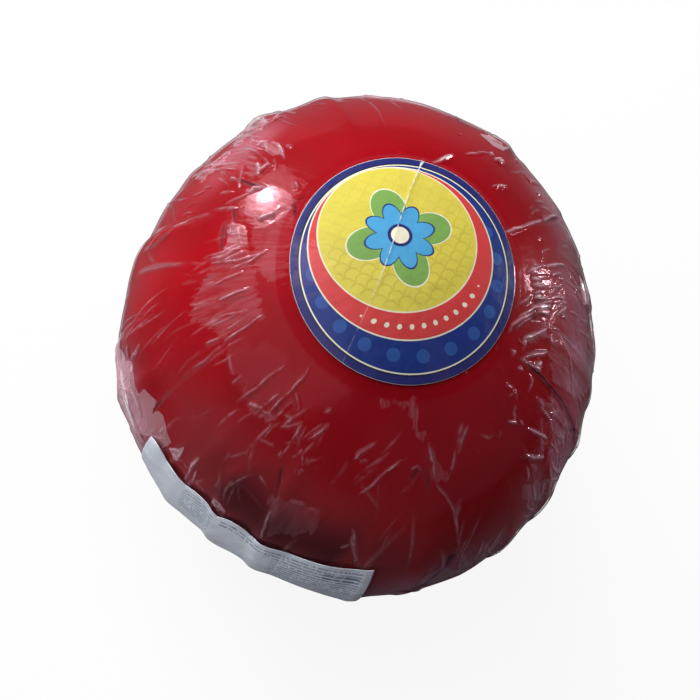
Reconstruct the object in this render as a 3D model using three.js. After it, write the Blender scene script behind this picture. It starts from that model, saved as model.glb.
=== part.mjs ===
// A waxed ball of cheese in its clear film, with a round label on the crown and a strip label on one side.
// Millimetres, +Z up through the crown, origin where the middle of the base meets the table.

import * as THREE from "three";
import { mergeVertices } from "three/addons/utils/BufferGeometryUtils.js";

// ---------------------------------------------------------------- driving dimensions

// The ball, measured over its film.
const EQUATOR_RADIUS = 74.6;
const HALF_HEIGHT = 67.0; // middle of the ball up to the crown
const BASE_RADIUS = 17.0; // flat spot that the ball has settled onto

// Hand-turned unevenness: waves of the outline round the equator.
const SHAPE_WAVES = [
  { count: 2, depth: 0.0326, crest: -69 },
  { count: 3, depth: 0.0128, crest: -26 },
  { count: 4, depth: 0.0067, crest: -44.5 },
  { count: 5, depth: 0.0047, crest: 12.5 },
];

// Pleats of the film. They start below the crown, run down the sides and meet under the ball.
const PLEAT_COUNT = 22;
const PLEAT_HEIGHT = 0.75;
const PLEAT_HALF_WIDTH = 3.4; // at the equator
const PLEAT_START = 46; // polar angle where a middling pleat begins, in degrees
const PLEAT_START_SPREAD = 16;
const PLEAT_RISE = 26; // degrees over which a pleat grows to its full height
const PLEAT_LEAN = 7; // degrees that a pleat drifts sideways from crown to base
const PLEAT_SCATTER = 0.36; // part of the spacing that a pleat may be off its even place
const PLEAT_FADE = [150, 166]; // polar angles over which the table presses the pleats flat

// Film that stands off the wax: tall folds and slack pockets, each with its place and size.
const POCKETS = [
  { azimuth: 148, polar: 73, height: 1.5, across: 3.2, along: 16 },
  { azimuth: 86, polar: 66, height: 0.9, across: 7.0, along: 14 },
  { azimuth: 24, polar: 72, height: 0.7, across: 6.0, along: 16 },
  { azimuth: -12, polar: 84, height: 0.8, across: 5.0, along: 20 },
  { azimuth: -64, polar: 100, height: 0.8, across: 6.0, along: 16 },
  { azimuth: -111, polar: 101, height: 0.9, across: 8.0, along: 14 },
  { azimuth: -137, polar: 95, height: 1.2, across: 4.5, along: 15 },
  { azimuth: -164, polar: 86, height: 0.9, across: 6.0, along: 15 },
];

// The round label, a little narrower across the crease that it was smoothed down with.
const ROUND_LABEL_LONG = 34.0; // half its length over the curve
const ROUND_LABEL_SHORT = 32.4;
const ROUND_LABEL_TURN = 113; // azimuth of the long way
const ROUND_LABEL_OFFSET = 1.4; // how far off the crown it was stuck, towards +Y

// The strip label on the -Y side. Its upper edge leans with the film and bulges between cusps, where
// it was pressed down first.
const STRIP_LENGTH = 78;
const STRIP_HEIGHT = 48;
const STRIP_AZIMUTH = -91.3;
const STRIP_TOP = 76.6; // polar angle of the upper edge at its middle, in degrees
const STRIP_LEAN = 2.3; // degrees that the +X end sits higher
const STRIP_BEND = 1.6; // degrees that both ends sit higher than the middle
const STRIP_CUSPS = [-1, -0.778, -0.556, -0.222, 0.056, 0.389, 1]; // places along its half length
const STRIP_BULGES = [3.0, 1.6, 3.0, 3.0, 1.2, 1.0]; // how far the edge bulges between two cusps
const STRIP_BULGE_REACH = 18; // how far down the strip a bulge fades out
const STRIP_BUCKLE_HEIGHT = 0.45; // how far the edge stands off between two cusps

// Both labels lie on the film with a hair of room under them.
const LABEL_GAP = 0.35;
const LABEL_THICKNESS = 0.4;

// How finely the curves are drawn.
const BALL_SEGMENTS = 144;
const BALL_RINGS = 30;
const ROUND_LABEL_SEGMENTS = 60;
const ROUND_LABEL_RINGS = 6;
const STRIP_COLUMNS = 36;
const STRIP_ROWS = 10;

// ---------------------------------------------------------------- small helpers

const radians = THREE.MathUtils.degToRad;

/** A repeatable scatter between -1 and 1 for number i of a row; each row has its own stride. */
function scatter(i, stride) {
  const place = (i + 1) * stride;
  return 2 * (place - Math.floor(place)) - 1;
}

/** The angle from b to a, brought between -180 and 180 degrees and given in radians. */
function turnBetween(a, b) {
  return Math.atan2(Math.sin(a - b), Math.cos(a - b));
}

/** A three.js geometry cut down to its places, with shared corners merged. */
function solidOf(geometry) {
  geometry.deleteAttribute("normal");
  geometry.deleteAttribute("uv");
  return mergeVertices(geometry, 1e-3);
}

/** Moves every corner of a geometry to where place(corner) says. */
function bent(geometry, place) {
  const position = geometry.getAttribute("position");
  const corner = new THREE.Vector3();
  for (let i = 0; i < position.count; i += 1) {
    corner.fromBufferAttribute(position, i);
    const moved = place(corner);
    position.setXYZ(i, moved.x, moved.y, moved.z);
  }
  geometry.computeVertexNormals();
  return geometry;
}

/** A profile of (radius, height) points turned about Z. It runs from the top of the axis to its foot. */
function turnedProfile(points, segments) {
  const upward = [...points].reverse();
  const geometry = new THREE.LatheGeometry(upward, segments);
  geometry.rotateX(Math.PI / 2);
  return solidOf(geometry);
}

// ---------------------------------------------------------------- the skin of the ball

// Polar angle of the base's rim, and the height of the ball's middle that puts that rim on the table.
const BASE_POLAR = Math.PI - Math.asin(BASE_RADIUS / EQUATOR_RADIUS);
const MIDDLE_HEIGHT = -HALF_HEIGHT * Math.cos(BASE_POLAR);

const PLEATS = Array.from({ length: PLEAT_COUNT }, (_, i) => ({
  azimuth: radians((360 / PLEAT_COUNT) * (i + PLEAT_SCATTER * scatter(i, 0.618034))),
  height: PLEAT_HEIGHT * (1 + 0.6 * scatter(i, 0.7548777)),
  start: radians(PLEAT_START + PLEAT_START_SPREAD * scatter(i, 0.5698403)),
  lean: radians(PLEAT_LEAN) * scatter(i, 0.8191725),
}));

/** One pleat's relief: a rounded ridge, steeper on one side, that grows from its start downwards. */
function pleatRelief(pleat, polar, azimuth) {
  const path = pleat.azimuth + pleat.lean * (polar / (Math.PI / 2) - 1);
  const sideways = EQUATOR_RADIUS * turnBetween(azimuth, path);
  const halfWidth = PLEAT_HALF_WIDTH * (sideways > 0 ? 1.35 : 0.7);
  const grown = THREE.MathUtils.smoothstep(polar, pleat.start, pleat.start + radians(PLEAT_RISE));
  return pleat.height * grown * Math.exp(-((sideways / halfWidth) ** 2));
}

/** One pocket's relief: a soft swelling, `across` round the ball and `along` down it. */
function pocketRelief(pocket, polar, azimuth) {
  const sideways = EQUATOR_RADIUS * Math.sin(polar) * turnBetween(azimuth, radians(pocket.azimuth));
  const down = EQUATOR_RADIUS * (polar - radians(pocket.polar));
  return pocket.height * Math.exp(-((sideways / pocket.across) ** 2) - (down / pocket.along) ** 2);
}

/** How far the film stands out from the smooth ball at a polar angle and an azimuth. */
function filmRelief(polar, azimuth) {
  let relief = 0;
  for (const pleat of PLEATS) {
    relief += pleatRelief(pleat, polar, azimuth);
  }
  for (const pocket of POCKETS) {
    relief += pocketRelief(pocket, polar, azimuth);
  }
  const pressed = THREE.MathUtils.smoothstep(polar, radians(PLEAT_FADE[0]), radians(PLEAT_FADE[1]));
  return relief * (1 - pressed);
}

/** How much wider than the even ball the cheese is in one direction. */
function unevenness(polar, azimuth) {
  let widening = 1;
  for (const wave of SHAPE_WAVES) {
    const round = Math.cos(wave.count * (azimuth - radians(wave.crest)));
    widening += wave.depth * round * Math.sin(polar) ** wave.count;
  }
  return widening;
}

/** A point `lift` outside the film, at a polar angle from the crown and an azimuth from +X. */
function skinPoint(polar, azimuth, lift) {
  const out = new THREE.Vector3(Math.cos(azimuth) * Math.sin(polar), Math.sin(azimuth) * Math.sin(polar),
    Math.cos(polar));
  const size = new THREE.Vector3(EQUATOR_RADIUS, EQUATOR_RADIUS, HALF_HEIGHT);
  const normal = out.clone().divide(size).normalize();
  const point = out.multiply(size).multiplyScalar(unevenness(polar, azimuth));
  point.addScaledVector(normal, lift + filmRelief(polar, azimuth));
  point.z = Math.max(point.z + MIDDLE_HEIGHT, 0);
  return point;
}

// ---------------------------------------------------------------- the pieces

/** The ball: a sphere's profile from the crown to the base's rim, turned, then bent to the skin. */
function ballGeometry() {
  const profile = [new THREE.Vector2(0, HALF_HEIGHT)];
  for (let ring = 1; ring <= BALL_RINGS; ring += 1) {
    const polar = (BASE_POLAR * ring) / BALL_RINGS;
    profile.push(new THREE.Vector2(EQUATOR_RADIUS * Math.sin(polar), EQUATOR_RADIUS * Math.cos(polar)));
  }
  profile.push(new THREE.Vector2(0, EQUATOR_RADIUS * Math.cos(BASE_POLAR)));
  return bent(turnedProfile(profile, BALL_SEGMENTS), (corner) => {
    const across = Math.hypot(corner.x, corner.y);
    if (across < 1e-6 && corner.z < 0) {
      return new THREE.Vector3(0, 0, 0);
    }
    const point = skinPoint(Math.atan2(across, corner.z), Math.atan2(corner.y, corner.x), 0);
    const onRim = Math.abs(Math.atan2(across, corner.z) - BASE_POLAR) < 1e-6;
    point.z = onRim ? 0 : point.z;
    return point;
  });
}

/** The round label: a thin disc of rings, laid over the crown. */
function roundLabelGeometry() {
  const rings = Array.from({ length: ROUND_LABEL_RINGS + 1 }, (_, i) => i / ROUND_LABEL_RINGS);
  const top = rings.map((ring) => new THREE.Vector2(ring, 1));
  const bottom = [...rings].reverse().map((ring) => new THREE.Vector2(ring, 0));
  return bent(turnedProfile([...top, ...bottom], ROUND_LABEL_SEGMENTS), (corner) => {
    const turn = radians(ROUND_LABEL_TURN);
    const longWay = ROUND_LABEL_LONG * corner.x;
    const shortWay = ROUND_LABEL_SHORT * corner.y;
    const east = longWay * Math.cos(turn) - shortWay * Math.sin(turn);
    const north = longWay * Math.sin(turn) + shortWay * Math.cos(turn) + ROUND_LABEL_OFFSET;
    const polar = Math.hypot(east, north) / EQUATOR_RADIUS;
    return skinPoint(polar, Math.atan2(north, east), LABEL_GAP + LABEL_THICKNESS * corner.z);
  });
}

/** Between the two cusps next to a place along the strip: how rounded it is there, and its bulge. */
function stripBulge(along) {
  const passed = STRIP_CUSPS.filter((cusp) => cusp <= along).length - 1;
  const i = THREE.MathUtils.clamp(passed, 0, STRIP_BULGES.length - 1);
  const part = THREE.MathUtils.inverseLerp(STRIP_CUSPS[i], STRIP_CUSPS[i + 1], along);
  const round = Math.sin(Math.PI * THREE.MathUtils.clamp(part, 0, 1));
  return { round, bulge: STRIP_BULGES[i] * round };
}

/** The strip label: a thin flat box, bent round the side of the ball and buckled over the pleats. */
function stripLabelGeometry() {
  const flat = new THREE.BoxGeometry(STRIP_LENGTH, STRIP_HEIGHT, LABEL_THICKNESS, STRIP_COLUMNS, STRIP_ROWS, 1);
  return bent(solidOf(flat), (corner) => {
    const along = (2 * corner.x) / STRIP_LENGTH;
    const down = STRIP_HEIGHT / 2 - corner.y;
    const edge = STRIP_TOP - STRIP_LEAN * along - STRIP_BEND * along ** 2;
    const { round, bulge } = stripBulge(along);
    const reach = Math.max(0, 1 - down / STRIP_BULGE_REACH);
    const polar = radians(edge) + (down - bulge * reach) / EQUATOR_RADIUS;
    const azimuth = radians(STRIP_AZIMUTH) + corner.x / EQUATOR_RADIUS;
    const nearEdge = Math.abs(corner.y) / (STRIP_HEIGHT / 2);
    const lift = LABEL_GAP + LABEL_THICKNESS / 2 + corner.z + STRIP_BUCKLE_HEIGHT * round ** 2 * nearEdge;
    return skinPoint(polar, azimuth, lift);
  });
}

/** A named mesh with its own finish. */
function piece(name, geometry, color, roughness) {
  const mesh = new THREE.Mesh(geometry, new THREE.MeshStandardMaterial({ color, roughness, metalness: 0 }));
  mesh.name = name;
  return mesh;
}

// ---------------------------------------------------------------- assembly

const ball = piece("cheese_ball", ballGeometry(), 0xa3141f, 0.25);
const roundLabel = piece("round_label", roundLabelGeometry(), 0xe0cf5e, 0.45);
const stripLabel = piece("strip_label", stripLabelGeometry(), 0xc2c6d2, 0.6);

const cheese = new THREE.Group();
cheese.add(ball, roundLabel, stripLabel);

// The uneven ball is shifted so that the middle of its width and depth stands over the origin.
const middle = new THREE.Box3().setFromObject(cheese).getCenter(new THREE.Vector3());
for (const mesh of cheese.children) {
  mesh.geometry.translate(-middle.x, -middle.y, 0);
}

export default cheese;
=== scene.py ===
# %% [markdown]
# # A ball of cheese in red wax and clear film
#
# The real thing is made in three layers. The cheese is dipped in hot red wax, a round label is laid
# on the crown, and a square of clear film is pulled down over both and gathered underneath. A long
# paper label goes on last, over the film. This lesson makes the layers in the same order, because
# most of what the eye sees comes from how they lie on each other.

# %% Load the frame
from functools import reduce

import bpy
import numpy as np
from mathutils import Matrix, Vector


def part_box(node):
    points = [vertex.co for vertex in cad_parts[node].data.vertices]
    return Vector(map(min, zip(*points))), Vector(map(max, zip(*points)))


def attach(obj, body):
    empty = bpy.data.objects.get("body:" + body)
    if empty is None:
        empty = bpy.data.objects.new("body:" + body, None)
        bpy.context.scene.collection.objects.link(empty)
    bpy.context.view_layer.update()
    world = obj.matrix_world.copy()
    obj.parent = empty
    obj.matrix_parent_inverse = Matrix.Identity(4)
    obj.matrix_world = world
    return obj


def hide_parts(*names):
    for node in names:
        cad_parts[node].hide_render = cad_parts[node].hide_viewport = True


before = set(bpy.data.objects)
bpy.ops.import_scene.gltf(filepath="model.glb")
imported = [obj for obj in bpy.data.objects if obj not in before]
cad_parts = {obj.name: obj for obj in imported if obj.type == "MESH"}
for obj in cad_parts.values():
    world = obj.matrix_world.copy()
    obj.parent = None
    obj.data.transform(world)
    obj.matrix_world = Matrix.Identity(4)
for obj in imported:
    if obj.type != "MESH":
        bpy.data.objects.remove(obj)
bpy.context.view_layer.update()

# %% [markdown]
# ## Sizes
#
# A ball cheese is turned by hand, so it is neither round nor even. Its outline is an ellipse of
# revolution with four slow waves round the equator. The film's relief is a set of pleats that start
# below the crown, plus a few places where the film stands well off the wax. The numbers are the
# ones that the solids were made from, in millimetres and degrees.

# %% Sizes of the ball
MM = 0.001
EQUATOR_RADIUS = 74.6
HALF_HEIGHT = 67.0
BASE_RADIUS = 17.0
SHAPE_WAVES = [(2, 0.0326, -69), (3, 0.0128, -26), (4, 0.0067, -44.5), (5, 0.0047, 12.5)]

PLEAT_COUNT = 22
PLEAT_HEIGHT = 0.75
PLEAT_HEIGHT_SPREAD = 0.6
PLEAT_HALF_WIDTH = 3.4
PLEAT_STEEP_SIDE, PLEAT_EASY_SIDE = 0.7, 1.35
PLEAT_START = 46
PLEAT_START_SPREAD = 16
PLEAT_RISE = 26
PLEAT_LEAN = 7
PLEAT_SCATTER = 0.36
PLEAT_FADE = (150, 166)
# Strides that scatter the pleats' starts, places, leans and heights without a pattern.
START_STRIDE, PLACE_STRIDE, LEAN_STRIDE, HEIGHT_STRIDE = 0.5698403, 0.618034, 0.8191725, 0.7548777

# Places where the film stands off: azimuth, polar angle, height, half width across and along.
POCKETS = [
    (148, 73, 1.5, 3.2, 16), (86, 66, 0.9, 7.0, 14), (24, 72, 0.7, 6.0, 16), (-12, 84, 0.8, 5.0, 20),
    (-64, 100, 0.8, 6.0, 16), (-111, 101, 0.9, 8.0, 14), (-137, 95, 1.2, 4.5, 15), (-164, 86, 0.9, 6.0, 15),
]

BASE_POLAR = np.pi - np.arcsin(BASE_RADIUS / EQUATOR_RADIUS)
MIDDLE_HEIGHT = -HALF_HEIGHT * np.cos(BASE_POLAR)
print(f"middle of the ball {MIDDLE_HEIGHT:.1f} mm up, base rim at {np.degrees(BASE_POLAR):.1f} degrees")

# %% Sizes of the labels
ROUND_LONG = 34.0
ROUND_SHORT = 32.4
ROUND_TURN = np.radians(113)
ROUND_OFFSET = 1.4

STRIP_LENGTH = 78.0
STRIP_HEIGHT = 48.0
STRIP_AZIMUTH = np.radians(-91.3)
STRIP_TOP = 76.6
STRIP_LEAN = 2.3
STRIP_BEND = 1.6
STRIP_CUSPS = np.array([-1, -0.778, -0.556, -0.222, 0.056, 0.389, 1])
STRIP_BULGES = np.array([3.0, 1.6, 3.0, 3.0, 1.2, 1.0])
STRIP_BULGE_REACH = 18
STRIP_BUCKLE_HEIGHT = 0.45

LABEL_GAP = 0.35
LABEL_THICKNESS = 0.4

# %% [markdown]
# ## The skin, as arrays
#
# Every layer follows the same skin, only higher or lower. One function therefore gives a point for
# a polar angle, an azimuth and a lift, and takes whole arrays, so a mesh of a hundred thousand
# corners is worked out at once. A sphere with a Displace modifier could come near it, but wouldn't
# follow the solids to a fraction of a millimetre.

# %% Helpers for smooth steps and repeatable scatter
def smoothstep(value, low, high):
    """0 below low, 1 above high, and 3t^2 - 2t^3 between them, with t the part of the way."""
    t = np.clip((value - low) / (high - low), 0.0, 1.0)
    return t * t * (3.0 - 2.0 * t)


def scatter(i, stride):
    """A repeatable scatter between -1 and 1: the fraction of (i + 1) strides, doubled, less one."""
    place = (i + 1) * stride
    return 2.0 * (place - np.floor(place)) - 1.0


def turn_between(a, b):
    """The angle from b to a in radians, wrapped to the short way round."""
    return np.arctan2(np.sin(a - b), np.cos(a - b))


# %% The relief that the solids have too
def pleat_relief(polar, azimuth):
    """Sum of ridges: height x growth x exp(-(sideways / width)^2), with one side steeper."""
    relief = np.zeros(np.broadcast(polar, azimuth).shape)
    for i in range(PLEAT_COUNT):
        start = np.radians(PLEAT_START + PLEAT_START_SPREAD * scatter(i, START_STRIDE))
        line = np.radians(360 / PLEAT_COUNT * (i + PLEAT_SCATTER * scatter(i, PLACE_STRIDE)))
        line = line + np.radians(PLEAT_LEAN) * scatter(i, LEAN_STRIDE) * (polar / (np.pi / 2) - 1)
        sideways = EQUATOR_RADIUS * turn_between(azimuth, line)
        width = PLEAT_HALF_WIDTH * np.where(sideways > 0, PLEAT_EASY_SIDE, PLEAT_STEEP_SIDE)
        height = PLEAT_HEIGHT * (1 + PLEAT_HEIGHT_SPREAD * scatter(i, HEIGHT_STRIDE))
        grown = smoothstep(polar, start, start + np.radians(PLEAT_RISE))
        relief += height * grown * np.exp(-((sideways / width) ** 2))
    return relief


def swelling(polar, azimuth, at_azimuth, at_polar, height, across, along):
    """A soft bump: height x exp(-(sideways / across)^2 - (down / along)^2), angles in degrees."""
    sideways = EQUATOR_RADIUS * np.sin(polar) * turn_between(azimuth, np.radians(at_azimuth))
    down = EQUATOR_RADIUS * (polar - np.radians(at_polar))
    return height * np.exp(-((sideways / across) ** 2) - (down / along) ** 2)


def flat_below(polar):
    """1, falling to 0 where the table presses the film flat."""
    return 1 - smoothstep(polar, np.radians(PLEAT_FADE[0]), np.radians(PLEAT_FADE[1]))


def film_relief(polar, azimuth):
    """Pleats and pockets together, pressed flat where the table takes over."""
    relief = pleat_relief(polar, azimuth)
    for pocket in POCKETS:
        relief = relief + swelling(polar, azimuth, *pocket)
    return relief * flat_below(polar)


# %% Points of the skin
def unevenness(polar, azimuth):
    """1 plus each wave: depth x cos(count x (azimuth - crest)) x sin(polar)^count."""
    widening = 1.0
    for count, depth, crest in SHAPE_WAVES:
        wave = np.cos(count * (azimuth - np.radians(crest)))
        widening = widening + depth * wave * np.sin(polar) ** count
    return widening


def skin(polar, azimuth, lift):
    """The uneven ellipsoid's point, plus lift along the even ellipsoid's normal; millimetres."""
    polar, azimuth, lift = np.broadcast_arrays(polar, azimuth, lift)
    out = np.stack([np.cos(azimuth) * np.sin(polar), np.sin(azimuth) * np.sin(polar), np.cos(polar)], -1)
    size = np.array([EQUATOR_RADIUS, EQUATOR_RADIUS, HALF_HEIGHT])
    normal = out / size
    normal = normal / np.linalg.norm(normal, axis=-1, keepdims=True)
    point = out * size * unevenness(polar, azimuth)[..., None] + normal * lift[..., None]
    point[..., 2] += MIDDLE_HEIGHT
    return point


def ball_shift():
    """How far the solids were moved sideways: from the even skin's box to the ball node's box."""
    polar = np.linspace(0, BASE_POLAR, 181)[:, None]
    azimuth = np.linspace(-np.pi, np.pi, 721)[None, :]
    points = skin(polar, azimuth, film_relief(polar, azimuth)).reshape(-1, 3)
    ours = (points.min(axis=0) + points.max(axis=0)) / 2
    low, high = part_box("cheese_ball")
    theirs = (np.array(low) + np.array(high)) / 2 / MM
    return np.array([theirs[0] - ours[0], theirs[1] - ours[1], 0.0])


SHIFT = ball_shift()
MIDDLE = SHIFT + np.array([0, 0, MIDDLE_HEIGHT])
print("ball moved sideways by", SHIFT.round(2), "mm")


# %% [markdown]
# ## From arrays to meshes
#
# A skin is a grid of rings and columns. Faces are quads between four neighbours, and the order of
# their corners keeps every face pointing outwards. Extra numbers that a material needs, such as how
# far the film stands off, go in as attributes of the corners. BMesh could build the same corner by
# corner, but foreach_set takes whole arrays and is far quicker.

# %% Mesh makers
def new_piece(name, points, faces, replaced):
    """A smooth mesh object at the origin, from points in millimetres and arrays of corner numbers."""
    sizes = np.concatenate([np.full(len(part), part.shape[1]) for part in faces])
    corners = np.concatenate([part.ravel() for part in faces])
    mesh = bpy.data.meshes.new(name)
    mesh.vertices.add(len(points))
    mesh.vertices.foreach_set("co", (points * MM).astype(np.float32).ravel())
    mesh.loops.add(len(corners))
    mesh.loops.foreach_set("vertex_index", corners.astype(np.int32))
    mesh.polygons.add(len(sizes))
    mesh.polygons.foreach_set("loop_start", (np.cumsum(sizes) - sizes).astype(np.int32))
    mesh.update(calc_edges=True)
    mesh.validate()
    mesh.polygons.foreach_set("use_smooth", np.ones(len(sizes), dtype=bool))
    piece = bpy.data.objects.new(name, mesh)
    bpy.context.scene.collection.objects.link(piece)
    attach(piece, "root")
    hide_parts(replaced)
    triangles = sum(len(part) * (part.shape[1] - 2) for part in faces)
    print(f"{name}: {len(points)} corners, {triangles} triangles")
    return piece


def grid_faces(rows, columns, first=0, closed=False):
    """Quads of a grid whose corners are numbered row by row from `first`; closed joins its sides."""
    row = np.arange(rows - 1)[:, None]
    column = np.arange(columns if closed else columns - 1)[None, :]
    here = first + row * columns + column
    beside = first + row * columns + (column + 1) % columns
    return np.stack([here, here + columns, beside + columns, beside], -1).reshape(-1, 4)


def fan_faces(point, ring, outwards=True):
    """Triangles from one corner to a row of corners."""
    fan = np.stack([np.full(len(ring) - 1, point), ring[:-1], ring[1:]], -1)
    return fan if outwards else fan[:, ::-1]


def closed_faces(rows, columns):
    """Faces of rings numbered from corner 1, with corner 0 above and one last corner below."""
    ring = np.append(np.arange(columns), 0)
    last = 1 + rows * columns
    foot = 1 + (rows - 1) * columns + ring
    side = grid_faces(rows, columns, 1, closed=True)
    return [side, fan_faces(0, 1 + ring), fan_faces(last, foot, outwards=False)]


def give(piece, name, values):
    """Stores one number or one vector for every corner, for the piece's material to read."""
    values = np.asarray(values, dtype=np.float32)
    kind, field = ("FLOAT", "value") if values.ndim == 1 else ("FLOAT_VECTOR", "vector")
    piece.data.attributes.new(name, kind, "POINT").data.foreach_set(field, values.ravel())


# %% Slow random ripples
def ripples(points, wavelength, seed, waves=14):
    """A smooth random field: sines along random directions, summed and scaled to about -1 to 1."""
    rng = np.random.default_rng(seed)
    directions = rng.normal(size=(waves, 3))
    directions /= np.linalg.norm(directions, axis=1, keepdims=True)
    directions *= rng.uniform(0.7, 1.4, (waves, 1)) * 2 * np.pi / wavelength
    phases = rng.uniform(0, 2 * np.pi, waves)
    return sum(np.sin(points @ way + phase) for way, phase in zip(directions, phases)) / np.sqrt(waves)


# %% [markdown]
# ## The wax ball
#
# Under the film lies a coat of coloured wax about a millimetre thick. It has the ball's own shape,
# very slightly dented where it was handled warm, and a few hollows that the film bridges. It stops
# a quarter of a millimetre inside the film, so that the film has something to stand off from. The
# frame's own solid could serve, but it goes out to the film and has no hollows.

# %% Wax
WAX_UNDER_FILM = 0.25
WAX_DENTS = 0.12
WAX_DENT_SPACING = 38
WAX_IN_PLEATS = 0.95
WAX_IN_POCKETS = 0.85
WAX_BOTTOM = 0.5
BASE_HOLLOW = 1.0

# Places where the film bridges a hollow: azimuth, polar angle, depth, half width across and along.
HOLLOWS = [
    (-136, 92, 2.6, 9, 17), (160, 74, 1.3, 14, 5), (52, 56, 1.0, 8, 9), (34, 66, 1.2, 9, 8),
    (-20, 76, 0.9, 12, 8),
]


def wax_lift(polar, azimuth):
    """Most of the pleats' relief and less of the pockets', less a set depth, dents and hollows."""
    where = skin(polar, azimuth, 0.0)
    dents = WAX_DENTS * (0.5 + 0.5 * np.clip(ripples(where, WAX_DENT_SPACING, seed=3), -1, 1))
    pleats = pleat_relief(polar, azimuth) * flat_below(polar)
    pockets = film_relief(polar, azimuth) - pleats
    for hollow in HOLLOWS:
        dents = dents + swelling(polar, azimuth, *hollow)
    return WAX_IN_PLEATS * pleats + WAX_IN_POCKETS * pockets - WAX_UNDER_FILM - dents


def ball_grid(polar, azimuth, lift, base_height, base_rings=8):
    """Side rings from the lift, then rings that close the base: hollow x (1 - inwards^2) high."""
    side = skin(polar, azimuth, lift)
    side[..., 2] = np.maximum(side[..., 2], base_height)
    inwards = (1 - np.arange(1, base_rings + 1) / (base_rings + 1))[:, None]
    base = np.empty((base_rings, side.shape[1], 3))
    base[..., :2] = side[-1, :, :2] * inwards[..., None]
    base[..., 2] = base_height + BASE_HOLLOW * (1 - inwards ** 2)
    return np.concatenate([side, base]) + SHIFT


def spaced(*stretches):
    """Places along a line, from pairs of an end and a number of steps, starting at zero."""
    places, start = [], 0.0
    for end, steps in stretches:
        places.append(start + (end - start) * np.arange(1, steps + 1) / steps)
        start = end
    return np.concatenate(places)


WAX_COLUMNS = 320
wax_polar = spaced((BASE_POLAR, 130))[:, None]
wax_azimuth = np.linspace(-np.pi, np.pi, WAX_COLUMNS, endpoint=False)[None, :]
wax_rings = ball_grid(wax_polar, wax_azimuth, wax_lift(wax_polar, wax_azimuth), WAX_BOTTOM)
wax_top = skin(0.0, 0.0, wax_lift(np.zeros(1), np.zeros(1))[0]) + SHIFT
wax_foot = SHIFT + [0, 0, WAX_BOTTOM + BASE_HOLLOW]
wax_points = np.vstack([wax_top, wax_rings.reshape(-1, 3), wax_foot])
wax_faces = closed_faces(len(wax_rings), WAX_COLUMNS)
wax = new_piece("wax_ball", wax_points, wax_faces, "cheese_ball")

# %% [markdown]
# ## How the film creases
#
# Film has no stretch, so what is too wide for the ball stands up in ridges. Nearly all of them run
# down the ball from the label, because the film is drawn together under the ball. Three kinds show:
#
# - pleats, as wide as a finger, which the solids have too;
# - panes: flat stretches that meet in creases, where the film bridges from pleat to pleat;
# - wrinkles: short sharp ridges in bunches, where a hand pressed the film down.
#
# A cloth simulation could crumple a sheet, but nobody could say where. Here a bunch is written as
# where it is and how its wrinkles lie, and a seeded draw scatters them in it, alike in each run.

# %% The film's grid
FILM_GORES = 8
FILM_COLUMNS = 2000
film_polar = np.radians(spaced((24, 24), (124, 300), (np.degrees(BASE_POLAR), 30)))[:, None]
film_azimuth = (np.arange(FILM_COLUMNS) * 2 * np.pi / FILM_COLUMNS - np.pi)[None, :]
film_place = skin(film_polar, film_azimuth, 0.0)
print("film grid:", film_place.shape[:2])

# %% Wrinkle bunches
# Azimuth and polar angle of the middle, spread across and down in millimetres, number, turn from
# straight down and its scatter in degrees, shortest and longest in millimetres, height.
BUNCHES = [
    # left of the label
    (-152, 43, 9, 7, 8, 10, 8, 6, 14, 0.12), (-136, 43, 9, 7, 9, 4, 8, 5, 12, 0.12),
    (-148, 62, 12, 10, 5, 8, 10, 14, 26, 0.14),
    # below the label on the left
    (-100, 44, 10, 8, 12, -6, 14, 5, 14, 0.12), (-88, 48, 7, 6, 10, -10, 60, 2, 6, 0.13),
    (-66, 46, 8, 7, 5, -40, 6, 5, 12, 0.10), (-100, 62, 12, 8, 8, 0, 30, 6, 18, 0.13),
    # right of the label
    (22, 36, 8, 4, 3, 5, 25, 3, 8, 0.16), (30, 50, 13, 7, 10, 0, 45, 3, 9, 0.22),
    (60, 48, 12, 8, 9, 10, 30, 4, 12, 0.18), (-10, 56, 9, 9, 18, 8, 50, 3, 9, 0.22),
    (-16, 70, 10, 9, 12, 5, 30, 6, 16, 0.22),
    # crown side and limb at the back
    (168, 47, 7, 5, 7, -18, 40, 3, 9, 0.18), (176, 56, 9, 7, 8, 0, 40, 4, 12, 0.22),
    (150, 60, 12, 5, 8, 5, 40, 5, 14, 0.2), (118, 60, 14, 6, 7, 10, 40, 5, 16, 0.16),
    (90, 58, 12, 8, 8, 0, 35, 6, 16, 0.2),
    # the side that leans away below
    (-50, 68, 18, 12, 9, -6, 16, 12, 30, 0.16), (-34, 80, 8, 8, 6, -18, 14, 12, 24, 0.26),
    (-130, 84, 14, 7, 7, 84, 10, 14, 30, 0.3), (-106, 74, 12, 5, 10, 10, 50, 3, 10, 0.18),
]
# Every side has some more wrinkles, long and low, so that no part of the wrap is bare. Their polar
# angles are in degrees, their lengths and heights in millimetres.
LOOSE_WRINKLES = 170
LOOSE_POLAR = (46, 150)
LOOSE_TURN = 16
LOOSE_LENGTH = (8, 34)
LOOSE_HEIGHT = (0.08, 0.4)
WRINKLE_GAIN = 1.9
WRINKLE_BOW = 0.07
# The strongest painted highlight on a bunched wrinkle's crest.
WRINKLE_HIGHLIGHT_STRENGTH = 0.20
# How strong a crest's painted highlight and painted shade are, from place to place.
streaks = 0.60 + 0.42 * ripples(film_place, 7, seed=12) + 0.34 * ripples(film_place, 2.6, seed=13)
streaks = np.clip(streaks, 0.05, 1.35)


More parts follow.
